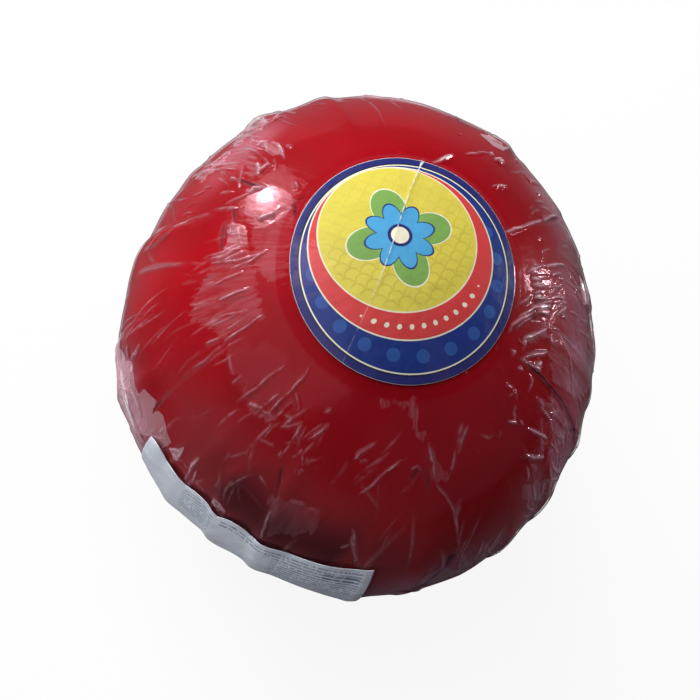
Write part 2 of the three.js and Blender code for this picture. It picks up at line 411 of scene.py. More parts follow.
def round_about(azimuth, polar, across, along):
    """The grid's part within a distance of a place: its index, and millimetres sideways and down."""
    reach = np.sin(np.clip(polar, 0.3, np.pi - 0.3)) * EQUATOR_RADIUS
    offset = turn_between(film_azimuth[0], azimuth)
    rows = np.flatnonzero(np.abs(film_polar[:, 0] - polar) * EQUATOR_RADIUS < along)
    columns = np.flatnonzero(np.abs(offset) * reach < across)
    down = EQUATOR_RADIUS * (film_polar[rows] - polar)
    return np.ix_(rows, columns), reach * offset[columns][None, :], down


TENT_HOLLOW = 1.35
WRINKLE_STEEP_SIDE = 0.6
CROSSING = 0.35


def tent(away):
    """A ridge's profile: (1 - away / 2)^hollow, 1 on the line and 0 from twice the width."""
    return np.clip(1 - away / 2, 0, 1) ** TENT_HOLLOW


def lay(field, part, values):
    """Raises a field's part to the values where they are higher."""
    field[part] = np.maximum(field[part], values)


def pile(relief, part, ridge):
    """The same for a ridge: where two cross, the upper one stands on a part of the lower one."""
    lay(relief, part, CROSSING * relief[part] + ridge)


def add_wrinkle(relief, painted_highlight, azimuth, polar, turn, length, height, width, bright):
    """Adds height x tent(|across| / width) x (1 - (along / half)^2), a little bowed, at one place.
    Its crest gets a painted highlight, bright x taper x exp(-(across / width / (0.25 to 0.6))^2),
    in streaks."""
    half = length / 2
    part, sideways, down = round_about(azimuth, polar, half + 2, half + 2)
    along = down * np.cos(turn) + sideways * np.sin(turn)
    across = sideways * np.cos(turn) - down * np.sin(turn)
    across = across + WRINKLE_BOW * length * (along / half) ** 2 * np.sin(37 * azimuth)
    taper = np.clip(1 - (along / half) ** 2, 0, 1)
    steep = np.where(across > 0, 1.0, WRINKLE_STEEP_SIDE)
    pile(relief, part, height * taper * tent(np.abs(across) / (width * steep)))
    crest = np.exp(-(across / width / (0.25 + 0.35 * taper)) ** 2)
    lay(painted_highlight, part, bright * taper * crest * streaks[part])


def wrinkle_relief():
    """The relief and the painted highlight of all bunches, each wrinkle's place, turn and length
    drawn inside its bunch, and of the loose wrinkles after them."""
    rng = np.random.default_rng(5)
    relief, painted_highlight = np.zeros((2, len(film_polar), FILM_COLUMNS))
    for azimuth, polar, wide, tall, count, turn, turn_spread, shortest, longest, height in BUNCHES:
        reach = EQUATOR_RADIUS * np.sin(np.radians(polar))
        for _ in range(count):
            at_azimuth = np.radians(azimuth) + rng.normal() * wide * 0.6 / reach
            at_polar = np.radians(polar) + rng.normal() * tall * 0.6 / EQUATOR_RADIUS
            at_turn = np.radians(turn + turn_spread * rng.uniform(-1, 1))
            length = rng.uniform(shortest, longest)
            size = WRINKLE_GAIN * height * rng.uniform(0.5, 1.2)
            bright = WRINKLE_HIGHLIGHT_STRENGTH * rng.uniform(0.2, 1)
            width = rng.uniform(0.4, 0.7)
            add_wrinkle(relief, painted_highlight, at_azimuth, at_polar, at_turn, length, size, width, bright)
    for _ in range(LOOSE_WRINKLES):
        at_azimuth = rng.uniform(-np.pi, np.pi)
        at_polar = np.radians(rng.uniform(*LOOSE_POLAR))
        at_turn = np.radians(rng.normal() * LOOSE_TURN)
        size = rng.uniform(*LOOSE_HEIGHT)
        length, width = rng.uniform(*LOOSE_LENGTH), rng.uniform(0.4, 0.9)
        add_wrinkle(relief, painted_highlight, at_azimuth, at_polar, at_turn, length, size, width, 0.2 * size)
    return relief, painted_highlight


# %% [markdown]
# ## Single creases
#
# The eye knows crumpled film by its odd creases, so those on the side that faces the viewer are
# laid one by one. Each is a bent line: its height and width in hundredths of a millimetre, then the
# azimuth and polar angle of its corners in degrees. A minus height is a groove. A ridge gets a
# painted highlight on its crest and painted shade at one foot, and a groove gets painted shade.
# Dark lines are painted shade where film is folded under, along the overlap's edge and in one broad
# band above the strip label: how dark and how wide in hundredths, then the corners. Dry patches are
# where the film has let go of the wax, and their milkiness is partly a painted sheen: how milky in
# hundredths, then the corners of a closed outline.
# Each table is one text, with semicolons between its rows, because a list would be twice as long.

# %% Tables of creases, dark lines and dry patches
# Each ridge here also gets a painted highlight on its crest and painted shade at one foot.
CREASES = """
65 50 -158 46.4 -159.2 40.8 -163.2 35.6; 70 50 -156 44 -155.6 36.8 -157.6 31.6 -160 29.2;
55 50 -152.4 39.6 -154.8 33.6 -159.2 30; 75 50 -148.4 42.8 -149.6 38.4 -150.8 34.8;
60 50 -142.8 42 -143.6 38 -144.4 33.6; 70 110 -169.2 38.8 -162.4 36.4; 60 80 -161.6 36 -158 40 -157.2 44.4;
60 60 -159.6 34.4 -156 40.8; 85 50 -20 52 -17.6 54.8 -14.4 57.6; 85 45 -16 46.4 -13.6 50 -11.2 54.4;
95 90 0 37.6 2.8 38.4; 90 60 -1.2 36.8 0 39.2; 85 60 -2.8 32.8 1.6 34.8 4.8 37.2 7.6 39.2;
70 40 -3.6 32.8 -2 36; 90 50 -3.2 29.6 -4 30.8; 78 40 -6.8 33.2 -6.4 34 -5.6 34.8;
78 50 -21.6 40.8 -19.6 42 -18.8 43.2; 55 45 -88.4 63.6 -87.6 69.2 -87.2 74.8; 50 40 -107.6 69.6 -107.2 73.6;
70 60 -74 42.8 -72.4 40.8 -68.8 38; 55 50 -68.8 59.6 -67.2 65.2 -66 68.8 -66 72;
30 50 -142.8 49.2 -143.2 42.4; 35 50 -137.6 44 -137.2 38.8 -135.6 34.8;
35 50 -132.8 41.2 -133.2 38.4 -134.4 34.8; 35 50 -131.6 48 -131.2 42; 60 55 -129.2 43.2 -130.4 37.6 -132 32;
30 60 -127.2 53.2 -127.6 48.4 -129.2 42.4; 30 50 -148.8 46 -149.6 42.4; 28 50 -117.2 45.6 -117.6 42.4;
30 50 -127.2 42.4 -122.8 43.2 -118.8 44; 40 60 -112.4 47.6 -111.6 41.2 -110.8 33.2;
55 50 -103.6 42.8 -102.8 36.8 -102.4 32.8 -103.2 29.2; 35 45 -110 45.6 -107.6 44 -102.8 43.6;
35 45 -98 44.4 -96.4 40.4 -94 36.8; 35 45 -88.8 42.4 -85.2 37.2; 30 45 -93.2 44.4 -93.2 40;
25 45 -88.4 36 -87.2 34; 35 45 -106 43.2 -104.8 38; 25 45 -101.6 35.6 -97.6 37.2 -95.6 40;
25 45 -112.8 45.2 -114 42.8; 45 50 158 54.4 157.2 50.8 158.8 48; 45 50 155.2 47.2 157.6 43.2 159.6 40;
45 50 165.2 45.6 166.8 43.2 170 42.4; 40 50 168.4 42 166 42 163.6 41.2; 45 40 173.2 49.2 173.2 47.2;
40 50 174.4 41.2 175.2 39.2; 50 60 -173.2 34 -175.2 32.4 -178 30.8; 45 50 -177.2 45.6 179.6 42.4 176.4 40.4;
40 50 -174.8 48.4 -176 44.4 -176.8 40.4; 30 50 178.8 49.6 177.6 45.2; 40 40 -168.8 41.6 -170 40.8;
40 40 -166 40.8 -167.6 40; 25 40 171.2 54.8 172.8 51.6; 25 40 166.4 32 170 29.6; 30 50 154.4 44 154.4 41.2;
45 60 168.8 63.2 166 62 163.2 61.2; 45 50 156.8 68 152 72.4; 40 50 149.2 67.2 151.6 57.2;
40 60 149.2 58.8 144.8 59.2; 40 60 131.2 56.4 129.2 54.8; 35 60 -169.6 62 -172 54 -174 48;
35 50 -174.8 48 -176.4 40.4; 14 60 -160.4 75.2 -159.2 62.4 -158 52.8 -156.4 44.4;
30 60 -169.6 66 -166.4 72.4; 55 60 -142.8 76 -140 76; 70 90 -139.6 77.2 -135.2 76.4 -129.6 77.2 -126 78;
60 60 -146.4 80.4 -143.6 81.6 -141.6 82.8; 60 60 -139.6 84 -137.2 84.4 -133.6 82;
50 50 -141.2 68.8 -139.6 71.2 -139.2 74.4; 45 40 -116 73.2 -113.6 70; 45 40 -113.2 72.4 -113.2 68;
45 40 -114.8 73.6 -113.2 72.8 -111.6 71.6; 40 40 -111.2 72 -110 72;
85 60 -108.8 73.2 -109.2 69.2 -109.2 65.6; 50 50 -108.8 76.8 -108.8 72.8 -109.2 68.8;
45 50 -107.2 78 -107.2 74 -107.2 70.4; 98 110 34.8 31.2 36.8 32.8; 95 70 31.6 30.8 33.2 33.2;
95 60 28.8 30.8 30.8 34 30 36; 95 90 24 31.6 26 34; 98 230 19.6 32.8 23.2 36; 90 60 23.2 34 25.6 37.6;
95 80 18.8 33.6 20.4 36.8; 90 60 28.8 41.2 28.8 42.4; 90 50 11.6 27.6 19.2 31.2 21.6 33.6;
95 90 4 26.8 6.8 26.8 11.2 28.4 16.8 31.6; 85 50 22 40 26 43.2 26.4 44.4; 98 90 82 44 80.4 44 80 46;
98 60 74 34.8 73.2 35.6; 90 70 54.4 26 54.4 30.4; 98 70 -173.2 34.4 -174.8 32.8 -177.6 30.8;
98 90 -175.6 32 -176.4 31.2; 90 60 177.6 40.4 174.8 40 174.4 38; 97 60 165.2 45.6 167.6 42.4 170.4 41.6;
90 55 168.4 42 164 42; 90 60 158.4 52 157.2 49.6; 97 50 156.4 45.6 157.2 43.2 158.8 40.8;
90 50 173.2 49.2 173.6 46.8; 80 40 166 32 168.4 30; 80 50 148.4 67.6 151.2 58.4; 80 45 149.6 58.4 144.4 62;
70 40 170.4 61.6 166.8 61.2; 45 50 -101.2 74 -98.8 73.6 -96.8 74; 40 40 -110 44.8 -107.2 44.4 -105.2 42.8;
40 40 -104 42.8 -102 43.2; 35 40 -100.8 49.6 -96 48.4; 35 40 -94 50 -93.6 48.4;
35 40 -99.2 41.2 -96.8 40.8 -96.4 41.6 -98 42; 35 40 -98.4 44 -95.6 42.4 -93.2 40; 35 50 -106 46 -106 42;
30 50 -100.8 48.8 -100.4 44.4; 40 40 -93.2 44.8 -92.8 42.4; 35 40 -85.6 58 -82 57.2;
30 50 -95.2 56.8 -92 58.4; 35 40 -120 73.2 -120.4 70; 35 40 -119.6 74 -117.6 72;
45 40 -89.2 43.2 -87.2 40 -84.8 37.2; 50 35 -74.4 42.8 -71.2 40 -68.4 37.6;
60 40 -70.4 51.2 -67.6 48.4 -63.2 43.6 -57.6 40.4; 35 40 -88 36 -87.2 34.4; 35 40 -93.2 44.8 -92.8 41.6;
35 40 -90.4 48.4 -88.8 45.2; 35 40 -72.4 43.2 -69.6 42; 40 50 -51.2 37.6 -49.6 42.4 -49.6 46.8;
35 50 -49.6 46.8 -45.6 52.4 -44 56 -42.8 63.6; 40 50 -42 40.4 -43.6 44.4 -46 47.6;
35 60 -35.6 36 -39.6 39.2 -41.2 42; 40 50 -68.8 62 -67.6 65.2 -65.6 70.4; 35 50 -70.4 67.2 -68 65.2;
45 35 -85.2 58.4 -81.6 57.6; 35 35 -80.8 58.4 -78 57.6; 30 60 -42 52.8 -43.6 58.4;
30 50 -56.8 43.6 -54.8 42.8 -53.2 44; 60 50 -1.6 32.8 2.4 35.2 8 39.6; 60 50 -3.2 32.4 -2 36 0 39.6;
60 50 0 32.4 4.4 31.6 8.8 33.6 13.6 36.8; 50 50 13.6 38.4 10.8 40.4; 45 50 -3.2 29.2 -4.8 30.8;
45 40 -6.4 33.2 -5.6 34.8; 45 40 -4.4 36.8 -5.6 38.8 -9.2 39.6; 45 40 -15.6 33.6 -13.2 36;
40 40 -16.8 36 -13.2 36.8 -14.4 38.4; 45 40 -15.6 39.2 -18 40 -18.8 42; 50 40 -21.6 41.2 -18.8 42.8;
40 40 -17.2 43.2 -16.8 44.8; 60 45 -16.4 46 -14 49.6 -11.2 54.4; 65 45 -20.4 51.6 -18 54.4 -14.4 58;
60 60 -7.6 42 -8 46.8 -7.2 52; 45 40 -8 52 -8.8 54.8 -10.8 56.8; 45 40 -11.2 56.4 -8.8 61.2;
50 50 -12.8 63.6 -10.8 69.2 -8.4 74.8; 40 40 -2.8 48 -6 47.2; 35 40 -6.8 24.8 -9.2 26.8;
40 40 -29.6 25.2 -28.4 26; 35 40 -32.8 39.2 -30 41.6 -26.8 41.6; 35 40 -24.8 41.6 -26.8 43.2;
50 50 -17.6 64.8 -14.4 67.2 -9.6 74.4; 40 50 -20.8 54.8 -21.2 60.4; 45 50 23.2 57.6 20.4 60.8;
45 50 6 60.4 5.6 66; 35 70 -37.6 34.8 -39.6 37.2 -41.6 41.2; 60 60 84.8 45.6 83.2 44.4;
60 70 82.8 43.6 79.2 44.8; 55 50 75.6 32.4 74 34.8 73.2 37.2; 50 40 78.4 55.6 77.6 53.6;
45 50 91.6 36.8 88.4 39.6 85.2 44.4; 40 50 96.8 32.8 95.2 34; 50 70 89.6 56.8 86.4 54.8 82 57.6;
50 60 74.8 50.8 70.8 50.4 68.4 58; 60 50 54.4 26 54.4 28.4 55.6 30.8;
50 60 54 28.4 56 36.8 56.4 42 58.8 55.2; 30 40 50.4 37.2 50 38.4; 30 40 44.4 36 46 40.8;
30 40 44.8 36.8 40.8 36; 40 50 66.8 49.2 64.4 50.4; 35 50 96.8 44.4 95.2 45.6;
50 40 38.4 33.6 39.2 38.4 40.8 44; 40 40 15.6 26.4 19.6 28 23.6 30 25.2 30.4; 95 60 34.4 30.8 36 32 34 32.4;
60 45 34 29.6 36.4 31.2 38.4 34.8; 80 45 31.2 30.8 32 32.4 33.2 34.4; 80 45 28.4 31.2 29.6 33.6 30.8 35.2;
78 45 26 31.6 28 34; 80 45 23.6 31.2 24.8 34 26.8 36.4; 95 55 19.6 31.6 22 34.8 24 37.6;
95 55 18 32.8 20 35.2 22 37.2; 50 40 38.4 34.4 40 39.6 41.6 46.4; 45 40 36 38 38 43.6;
50 40 30.4 35.2 31.6 38.8 33.2 42.4; 45 40 27.6 35.2 29.6 38 32 40.8; 60 40 25.6 35.6 28.4 40 28.8 43.6;
50 40 23.2 38.8 26 41.2 28.4 44.4; 50 40 22 39.6 23.2 42.4 22.4 44.4; 40 40 38 43.6 35.6 43.2 32.8 42;
50 40 32.8 43.2 29.2 42.8; 78 50 2.8 26.8 6 26.8 9.2 27.6; 50 50 17.2 27.2 21.6 29.2 26.4 30.8;
85 50 4.4 31.2 6.4 31.6 10.8 34.4 14.4 36.4 16.8 37.2; 70 50 2.4 32 4.8 31.6;
90 60 103.2 27.6 99.2 30.4 95.6 34; 90 45 84.8 44.8 83.6 43.6; 95 60 82 42.8 81.2 45.2 79.2 44.8;
60 40 75.2 32.8 74.4 34; 80 45 73.6 34.4 73.2 35.6; 60 40 73.2 36.4 72.8 37.2;
90 55 54.8 26.4 54.8 29.2 54.8 33.2; 60 50 -143.2 76.4 -140 76; 60 50 -141.2 68.8 -140 71.6 -139.2 75.2;
60 40 8.4 26.8 13.2 29.2 18.8 32.4; 60 40 1.6 26.8 4.8 26.8 7.2 26.4;
50 40 2 26.8 8 28.4 12.8 30.4 16.4 32.4; 70 50 1.6 32 5.2 31.2 9.6 34 14 36.4 17.2 37.2;
50 40 14.4 34.8 16.4 36; 50 40 25.2 37.6 27.2 41.2 27.6 44; 50 40 27.6 41.2 30 42.8;
50 40 20.8 39.2 22.8 40.8 25.2 43.6; 45 40 22 42 23.6 44; 50 40 12.8 38.4 10.8 40;
45 40 14.4 38.4 16.4 38.8 17.2 42; 60 80 40.8 56.4 36.8 57.2 33.2 58.8 32.4 62.4;
-22 60 -152 52.4 -151.6 46 -152 40; -20 60 -110.4 45.2 -110.8 39.2 -110.8 34;
-20 60 -102.4 44.4 -102 40 -101.6 36; -20 50 -141.2 42.8 -141.2 37.6 -141.6 34.4;
-20 50 -136.4 44.4 -136 39.6 -134 35.6; -30 60 173.2 46.4 174 41.6 172.8 37.2;
-25 50 -177.2 30.8 -180 29.6 176.8 28; -30 50 -175.2 41.2 -170.4 40.4 -166 39.6;
-30 50 -172 42.8 -166.4 42.8 -162.8 42.8; -25 50 174.8 28.8 168.4 27.2;
-25 70 -124.8 71.6 -126 66.4 -126.8 56.4 -127.2 48.8 -128 43.6; -45 90 -100.8 62.4 -96.4 63.6 -90.4 65.6;
-35 80 -92 50.4 -90 56.4 -87.6 66.8; -40 90 -52.4 38.8 -51.6 44 -50.8 50.4;
-25 70 -53.2 42.4 -55.6 45.2 -58 48; -25 70 -77.6 64.8 -75.6 60 -73.6 55.6;
-30 60 55.6 41.2 56.8 48 58 57.2; -30 50 32.8 30.8 34.4 34.8 36 38.8; -30 50 26 30.8 27.2 33.2 29.6 36.8;
-35 50 22 30.8 23.2 33.6 25.2 37.2; -35 60 5.2 26.8 14.4 30.8 17.2 34 20 37.2
"""
# Painted shade along folds, along the overlap's edge and in one broad band above the strip label.
PAINTED_SHADE_LINES = """
80 60 57.2 47.2 58 54 56 57.6; 60 45 -136 78.8 -133.2 81.2 -129.2 83.2 -125.6 82.8;
80 70 -138.4 94 -135.2 88.8 -133.2 84.8; 60 50 -147.6 78.8 -144.8 80.8 -141.6 82; 60 35 -169.2 40 -166 39.2;
60 35 -170.4 41.6 -167.6 41.2 -165.2 41.2; 55 35 -169.2 42.8 -164.4 42 -160.4 41.6;
55 35 -176 42 -172.4 41.2; 90 60 160.8 63.6 158.8 61.6; 80 45 171.6 67 172.6 63;
60 40 -124.8 71.6 -125.6 68.4 -126 66.4; 45 90 -94.4 65.6 -92 66 -89.6 66.8;
50 60 -108.8 78 -106.8 79.2 -104 77.6; 55 70 -99.2 76.8 -96.8 76.8 -94 74.4; 95 420 -52 91 -50 87.6;
90 230 -50 87.6 -48 82.8; 80 130 -48 82.8 -44.8 76 -43.2 70.4; 58 1300 -104 64 -86 70 -66 70;
90 45 43.6 55.6 42.8 60.4 40.4 62.4; 70 40 56.8 43.6 57.6 50.8 56 55.6; 60 50 173.2 46.8 173.6 42 173.2 38;
50 50 175.2 28.4 -178.8 26.4; 45 60 -161.2 74.4 -159.6 62.8 -158 54;
50 50 -166.8 74.8 -166.8 66.8 -169.2 61.6; 55 70 -101.2 62.4 -97.2 64 -94 64.4;
60 90 -99.6 68 -95.2 69.6 -90.8 70; 55 80 -95.2 64.8 -91.2 66.4 -88 67.2;
45 60 -91.6 51.2 -89.6 57.2 -88 62.8; 40 60 -66.4 70.4 -66 72.8;
90 38 -3.6 32.4 -1.6 39.2 -0.8 46.4 0 55.2 -0.4 62.4 -1.2 74; 60 50 -1.2 74 -2 80.4 -6.8 77.2;
60 70 24 65.6 23.6 73.6; 50 60 -10.8 62.8 -7.6 68.4; 80 60 57.2 55.2 56 57.6; 70 70 43.6 55.6 42.4 65.6;
50 50 74.4 52 71.6 54; 50 50 67.6 52.4 66 56.8; 70 60 42.8 54.8 42.4 59.2 40.4 62.8;
70 50 17.2 45.6 17.2 48 17.2 50.8; 50 60 28.8 58.8 25.6 57.6
"""
# Dry patches: where the film has let go of the wax; their milkiness is partly a painted sheen.
DRY_PATCHES = """
4 -157.2 37.2 -162.8 34.4 -151.6 33.2 -150.8 32 -133.6 32 -131.6 32 -130.4 37.6 -129.2 42.4 -134.8 44.4
   -139.6 49.6 -144.4 50 -149.2 46 -155.6 43.6;
1 -127.2 42.4 -121.2 33.2 -114 31.6 -110 33.2 -105.6 32.8 -103.2 30 -100.8 30.4 -101.6 37.2 -102 44 -105.6
   43.6 -109.2 44.4 -110.4 46 -118 44 -122.8 43.2;
18 -171.2 40.8 -169.6 37.2 -166.4 35.6 -160.8 34.4 -160 37.2 -159.6 39.2 -160.4 40.8 -164 40.4 -168 41.6;
45 -139.6 76.4 -138 74.8 -134 75.2 -130.4 74.8 -126.4 76.8 -124 78.8 -125.2 80.8 -129.2 79.2 -133.6 78.4
   -136.4 78; 30 -148 84 -141 79 -136 81 -129 83 -125 82 -121 88 -119 94 -126 104 -138 104 -148 96;
6 166 50.8 164.4 46.4 165.2 44 163.2 42 170.4 41.6 170.8 44.4 168.4 47.6;
8 -179.2 40.4 176.4 40.4 174 38.4 172.8 35.6 176 32 174.8 29.2 177.6 28 -177.2 32 -172.8 34.4 -170.8 36
   -175.6 38.8; 14 8.8 44 17.6 48.8 16.4 63.2 12.4 66.4 6 59.6 3.2 52.4 4.4 47.6;
30 36.4 37.2 38 42.4 34.4 41.6 32.4 37.2; 40 40.8 56 39.2 59.6 36.8 62.8 33.6 62 32.4 56.8 35.2 54.8;
28 90.8 53.2 86.8 58 83.2 55.6 81.6 58.8 82.4 52 85.6 50.4;
13 160.4 62.8 154 72.8 151.6 71.6 148.4 70.8 149.6 60 153.2 59.2 156.8 60.4 160 59.2;
12 172 71.6 170 68 167.6 63.6 162 62 166.8 58 171.6 58.8 174 60.8;
12 174.8 42 171.6 36.8 171.2 30.4 179.6 27.2 -176 28 -166.8 31.6 -170 35.2 -175.2 38.8;
30 -116.4 73.2 -113.6 68 -112.8 71.6 -112.8 74.4 -114 74.8;
26 -101.2 74.4 -99.2 72 -96.8 73.6 -98.4 74.8 -100 75.2;
12 157.6 53.6 156.4 51.6 155.2 47.2 159.2 40.4 160.4 44.4 159.6 51.2;
22 -139.2 75.2 -135.6 74.8 -130.8 74.8 -130.8 71.2 -126.4 68.4 -124.8 72 -124.4 69.2 -122.8 68.4 -120.4
   69.6 -116.4 71.2 -117.2 76 -120.8 77.2 -126 88.4 -135.6 86.8 -139.6 90.8 -141.2 81.6;
4 -110.4 45.2 -108 43.2 -102.4 42.4 -101.2 43.6 -104 45.6 -108 46;
12 -101.2 73.2 -99.6 72 -96.4 74.4 -99.2 75.6;
6 -70.4 29.2 -54.8 27.6 -54.4 35.2 -51.6 35.2 -52.8 37.6 -56.4 34.8 -58 30.8 -64.4 28.8 -69.2 30.4;
4 -51.2 37.6 -45.2 45.2 -46 47.6 -49.2 47.2;
8 8.4 40.4 15.6 38.8 27.6 64.8 24.4 72.4 10 66 6 60.4 3.2 50.8 0 44.8;
7 -7.6 43.2 -2.4 48.4 -0.8 61.2 -2.4 65.2 -7.6 61.2 -7.6 54 -7.6 50.8;
7 -12.8 62.4 -8 71.6 -8.8 74.8 -13.2 64.4; 7 -18 64 -8.8 75.6 -10.4 83.6 -18 73.6 -24 64.4 -22.4 61.2;
12 3.2 30.4 13.2 36.4 12 37.6 3.2 32; 12 0.4 37.2 3.6 38.4 0.4 40 -1.2 38;
12 20.8 32 24.4 37.2 20.4 37.6 18.4 34.4 17.6 32;
3 39.2 33.2 42.4 47.6 36 54.4 28.8 57.6 20 59.2 13.6 46.4 19.2 44.4 19.6 38.4 24.8 37.2 30.4 32;
3 -90 60.4 -85.6 58 -78 57.6 -78 65.6 -86 72;
4 170.8 29.2 -178.4 26 -168.8 25.2 -154.8 24.4 -144 25.2 -144.4 29.2 -150.8 31.6 -159.2 33.2 -166.4 34.8
   -171.6 33.2 -176 30 178 28.4
"""


def table(text):
    """A list of rows of numbers from text with semicolons between the rows."""
    return [np.array(row.split(), dtype=float) for row in text.split(";")]


print(len(table(CREASES)), "creases,", len(table(PAINTED_SHADE_LINES)), "dark lines,",
      len(table(DRY_PATCHES)), "dry patches")


# %% Distance to bent lines
WANDER = 0.12
wander = [WANDER * ripples(film_place, 6, seed) for seed in (31, 32)]


def flat_window(corners, margin):
    """The grid's part round some corners, and flat places of both: arc of azimuth, arc of polar. The
    part's own places wander a little, so that what is drawn on them isn't ruled straight."""
    azimuth, polar = np.radians(corners[0::2]), np.radians(corners[1::2])
    aside = turn_between(azimuth, azimuth[0])
    margin = margin / EQUATOR_RADIUS
    down = film_polar[:, 0]
    rows = np.flatnonzero((down > polar.min() - margin) & (down < polar.max() + margin))
    offset = turn_between(film_azimuth[0], azimuth[0])
    widest = margin / np.sin(max(polar.min() - margin, 0.2))
    columns = np.flatnonzero((offset > aside.min() - widest) & (offset < aside.max() + widest))
    part = np.ix_(rows, columns)
    x = EQUATOR_RADIUS * offset[columns][None, :] * np.sin(film_polar[rows]) + wander[0][part]
    y = EQUATOR_RADIUS * film_polar[rows] + wander[1][part]
    line = EQUATOR_RADIUS * np.stack([aside * np.sin(polar), polar], -1)
    return part, x, y, line


def beside_line(x, y, line):
    """Distance to a bent line's nearest point, that point's part of the way, and which side: -1 or 1."""
    steps = np.diff(line, axis=0)
    lengths = np.hypot(*steps.T)
    passed = np.cumsum(lengths) - lengths
    nearest, part, side = np.full(x.shape, 1e3), np.zeros(x.shape), np.ones(x.shape)
    for (start_x, start_y), (step_x, step_y), length, before in zip(line, steps, lengths, passed):
        t = np.clip(((x - start_x) * step_x + (y - start_y) * step_y) / length ** 2, 0, 1)
        off_x, off_y = x - start_x - t * step_x, y - start_y - t * step_y
        away = np.hypot(off_x, off_y)
        nearer = away < nearest
        nearest = np.where(nearer, away, nearest)
        part = np.where(nearer, (before + t * length) / lengths.sum(), part)
        side = np.where(nearer, np.where(off_x + off_y < 0, -1, 1), side)
    return nearest, part, side


def inside_outline(x, y, line):
    """True where a ray sideways crosses the closed outline an odd number of times."""
    odd = np.zeros(x.shape, dtype=bool)
    for (x0, y0), (x1, y1) in zip(line, np.roll(line, -1, axis=0)):
        if y0 != y1:
            odd ^= ((y0 > y) != (y1 > y)) & (x < (x1 - x0) * (y - y0) / (y1 - y0) + x0)
    return odd


# %% Fields of creases, dark lines and patches
# Painted highlight along a ridge's crest: its strength, and its width in ridge widths.
CREST_HIGHLIGHT_STRENGTH, CREST_HIGHLIGHT_WIDTH = 0.28, 0.55
# From this height on, in hundredths of a millimetre, a ridge's painted highlight is at least
# this strong all along.
BRIGHT_FROM, BRIGHT_LINE = 75, 0.8
# Painted shade at a ridge's foot and along a groove.
SHADOW, SHADOW_WIDTH, SHADOW_OFFSET = 0.36, 0.5, 1.1
GROOVE_SHADOW = 1.4
PATCH_REACH = 3.0


def crease_fields(relief, painted_highlight):
    """Adds height x tent(distance / width) x (1 - (2 x part - 1)^4) for every crease. A ridge gets a
    painted highlight along its crest, and painted shade at one foot,
    exp(-((distance - offset) / width)^2), in streaks. A groove and a dark line get only painted
    shade: exp(-(distance / width)^2)."""
    shade = np.zeros(relief.shape)
    for height, width, *corners in table(CREASES):
        part, x, y, line = flat_window(np.array(corners), 4.0)
        away, along, side = beside_line(x, y, line)
        taper = 1 - (2 * along - 1) ** 4
        away = 100 * away / width / (0.4 + 0.6 * taper)
        ridge = height / 100 * tent(away) * taper
        least = BRIGHT_LINE if height > BRIGHT_FROM else 0
        strength = height / 50 * taper * np.maximum(streaks[part], least)
        if height > 0:
            pile(relief, part, ridge)
            lay(painted_highlight, part, CREST_HIGHLIGHT_STRENGTH * strength * np.exp(-(away / CREST_HIGHLIGHT_WIDTH) ** 2))
            foot = np.exp(-((side * away - SHADOW_OFFSET) / SHADOW_WIDTH) ** 2)
            lay(shade, part, SHADOW * np.minimum(strength, 1) * foot)
        else:
            relief[part] += ridge
            lay(shade, part, -GROOVE_SHADOW * SHADOW * strength * np.exp(-away ** 2))
    for darkness, width, *corners in table(PAINTED_SHADE_LINES):
        part, x, y, line = flat_window(np.array(corners), 4 + width / 40)
        away, along, _ = beside_line(x, y, line)
        tapered = np.clip(8 * along, 0.3, 1) * np.clip(8 * (1 - along), 0.3, 1)
        lay(shade, part, darkness / 100 * tapered * np.exp(-(100 * away / width) ** 2))
    return relief, painted_highlight, shade


def patch_fields():
    """Millimetres inside the nearest outline's border, minus outside it, down to the patches' reach,
    and how milky that outline's film is, which is partly a painted sheen."""
    inside_by = np.full((len(film_polar), FILM_COLUMNS), -PATCH_REACH)
    milk_and_sheen = np.zeros(inside_by.shape)
    for own, *corners in table(DRY_PATCHES):
        part, x, y, line = flat_window(np.array(corners), PATCH_REACH)
        away, _, _ = beside_line(x, y, np.vstack([line, line[:1]]))
        by = np.where(inside_outline(x, y, line), away, -away)
        milk_and_sheen[part] = np.where(by > inside_by[part], own / 100, milk_and_sheen[part])
        lay(inside_by, part, by)
    return inside_by, milk_and_sheen


# %% Panes
PANES = 290
PANE_ACROSS = 9.0
PANE_ALONG = 19.0
PANE_HEIGHT = 0.5
PANE_LIMIT = 1.3
PANE_REACH = 1.4


def pane_fields():
    """Squared distance to the nearest scattered point, in cells longer down than round, and each
    cell's own number between 0 and 1."""
    rng = np.random.default_rng(21)
    nearest = np.full((len(film_polar), FILM_COLUMNS), PANE_LIMIT)
    number = np.full(nearest.shape, 0.5)
    for _ in range(PANES):
        at_azimuth, at_polar = rng.uniform(-np.pi, np.pi), np.arccos(rng.uniform(-1, 1))
        size, own = rng.uniform(0.8, 1.2), rng.uniform()
        reach = (PANE_REACH * PANE_ACROSS, PANE_REACH * PANE_ALONG)
        part, sideways, down = round_about(at_azimuth, at_polar, *reach)
        away = ((sideways / PANE_ACROSS) ** 2 + (down / PANE_ALONG) ** 2) * size
        nearer = away < nearest[part]
        nearest[part] = np.where(nearer, away, nearest[part])
        number[part] = np.where(nearer, own, number[part])
    return nearest * PANE_HEIGHT, number


# %% [markdown]
# ## Where the film is slack
#
# Over the label and on the smooth shoulders the film clings to the wax. On the right side and
# low on the flanks it is slack. One field says how slack it is, from 0 to 1, and scales the panes.
# It could be painted on by hand as weights, but a few soft spots in a table are easier to move.

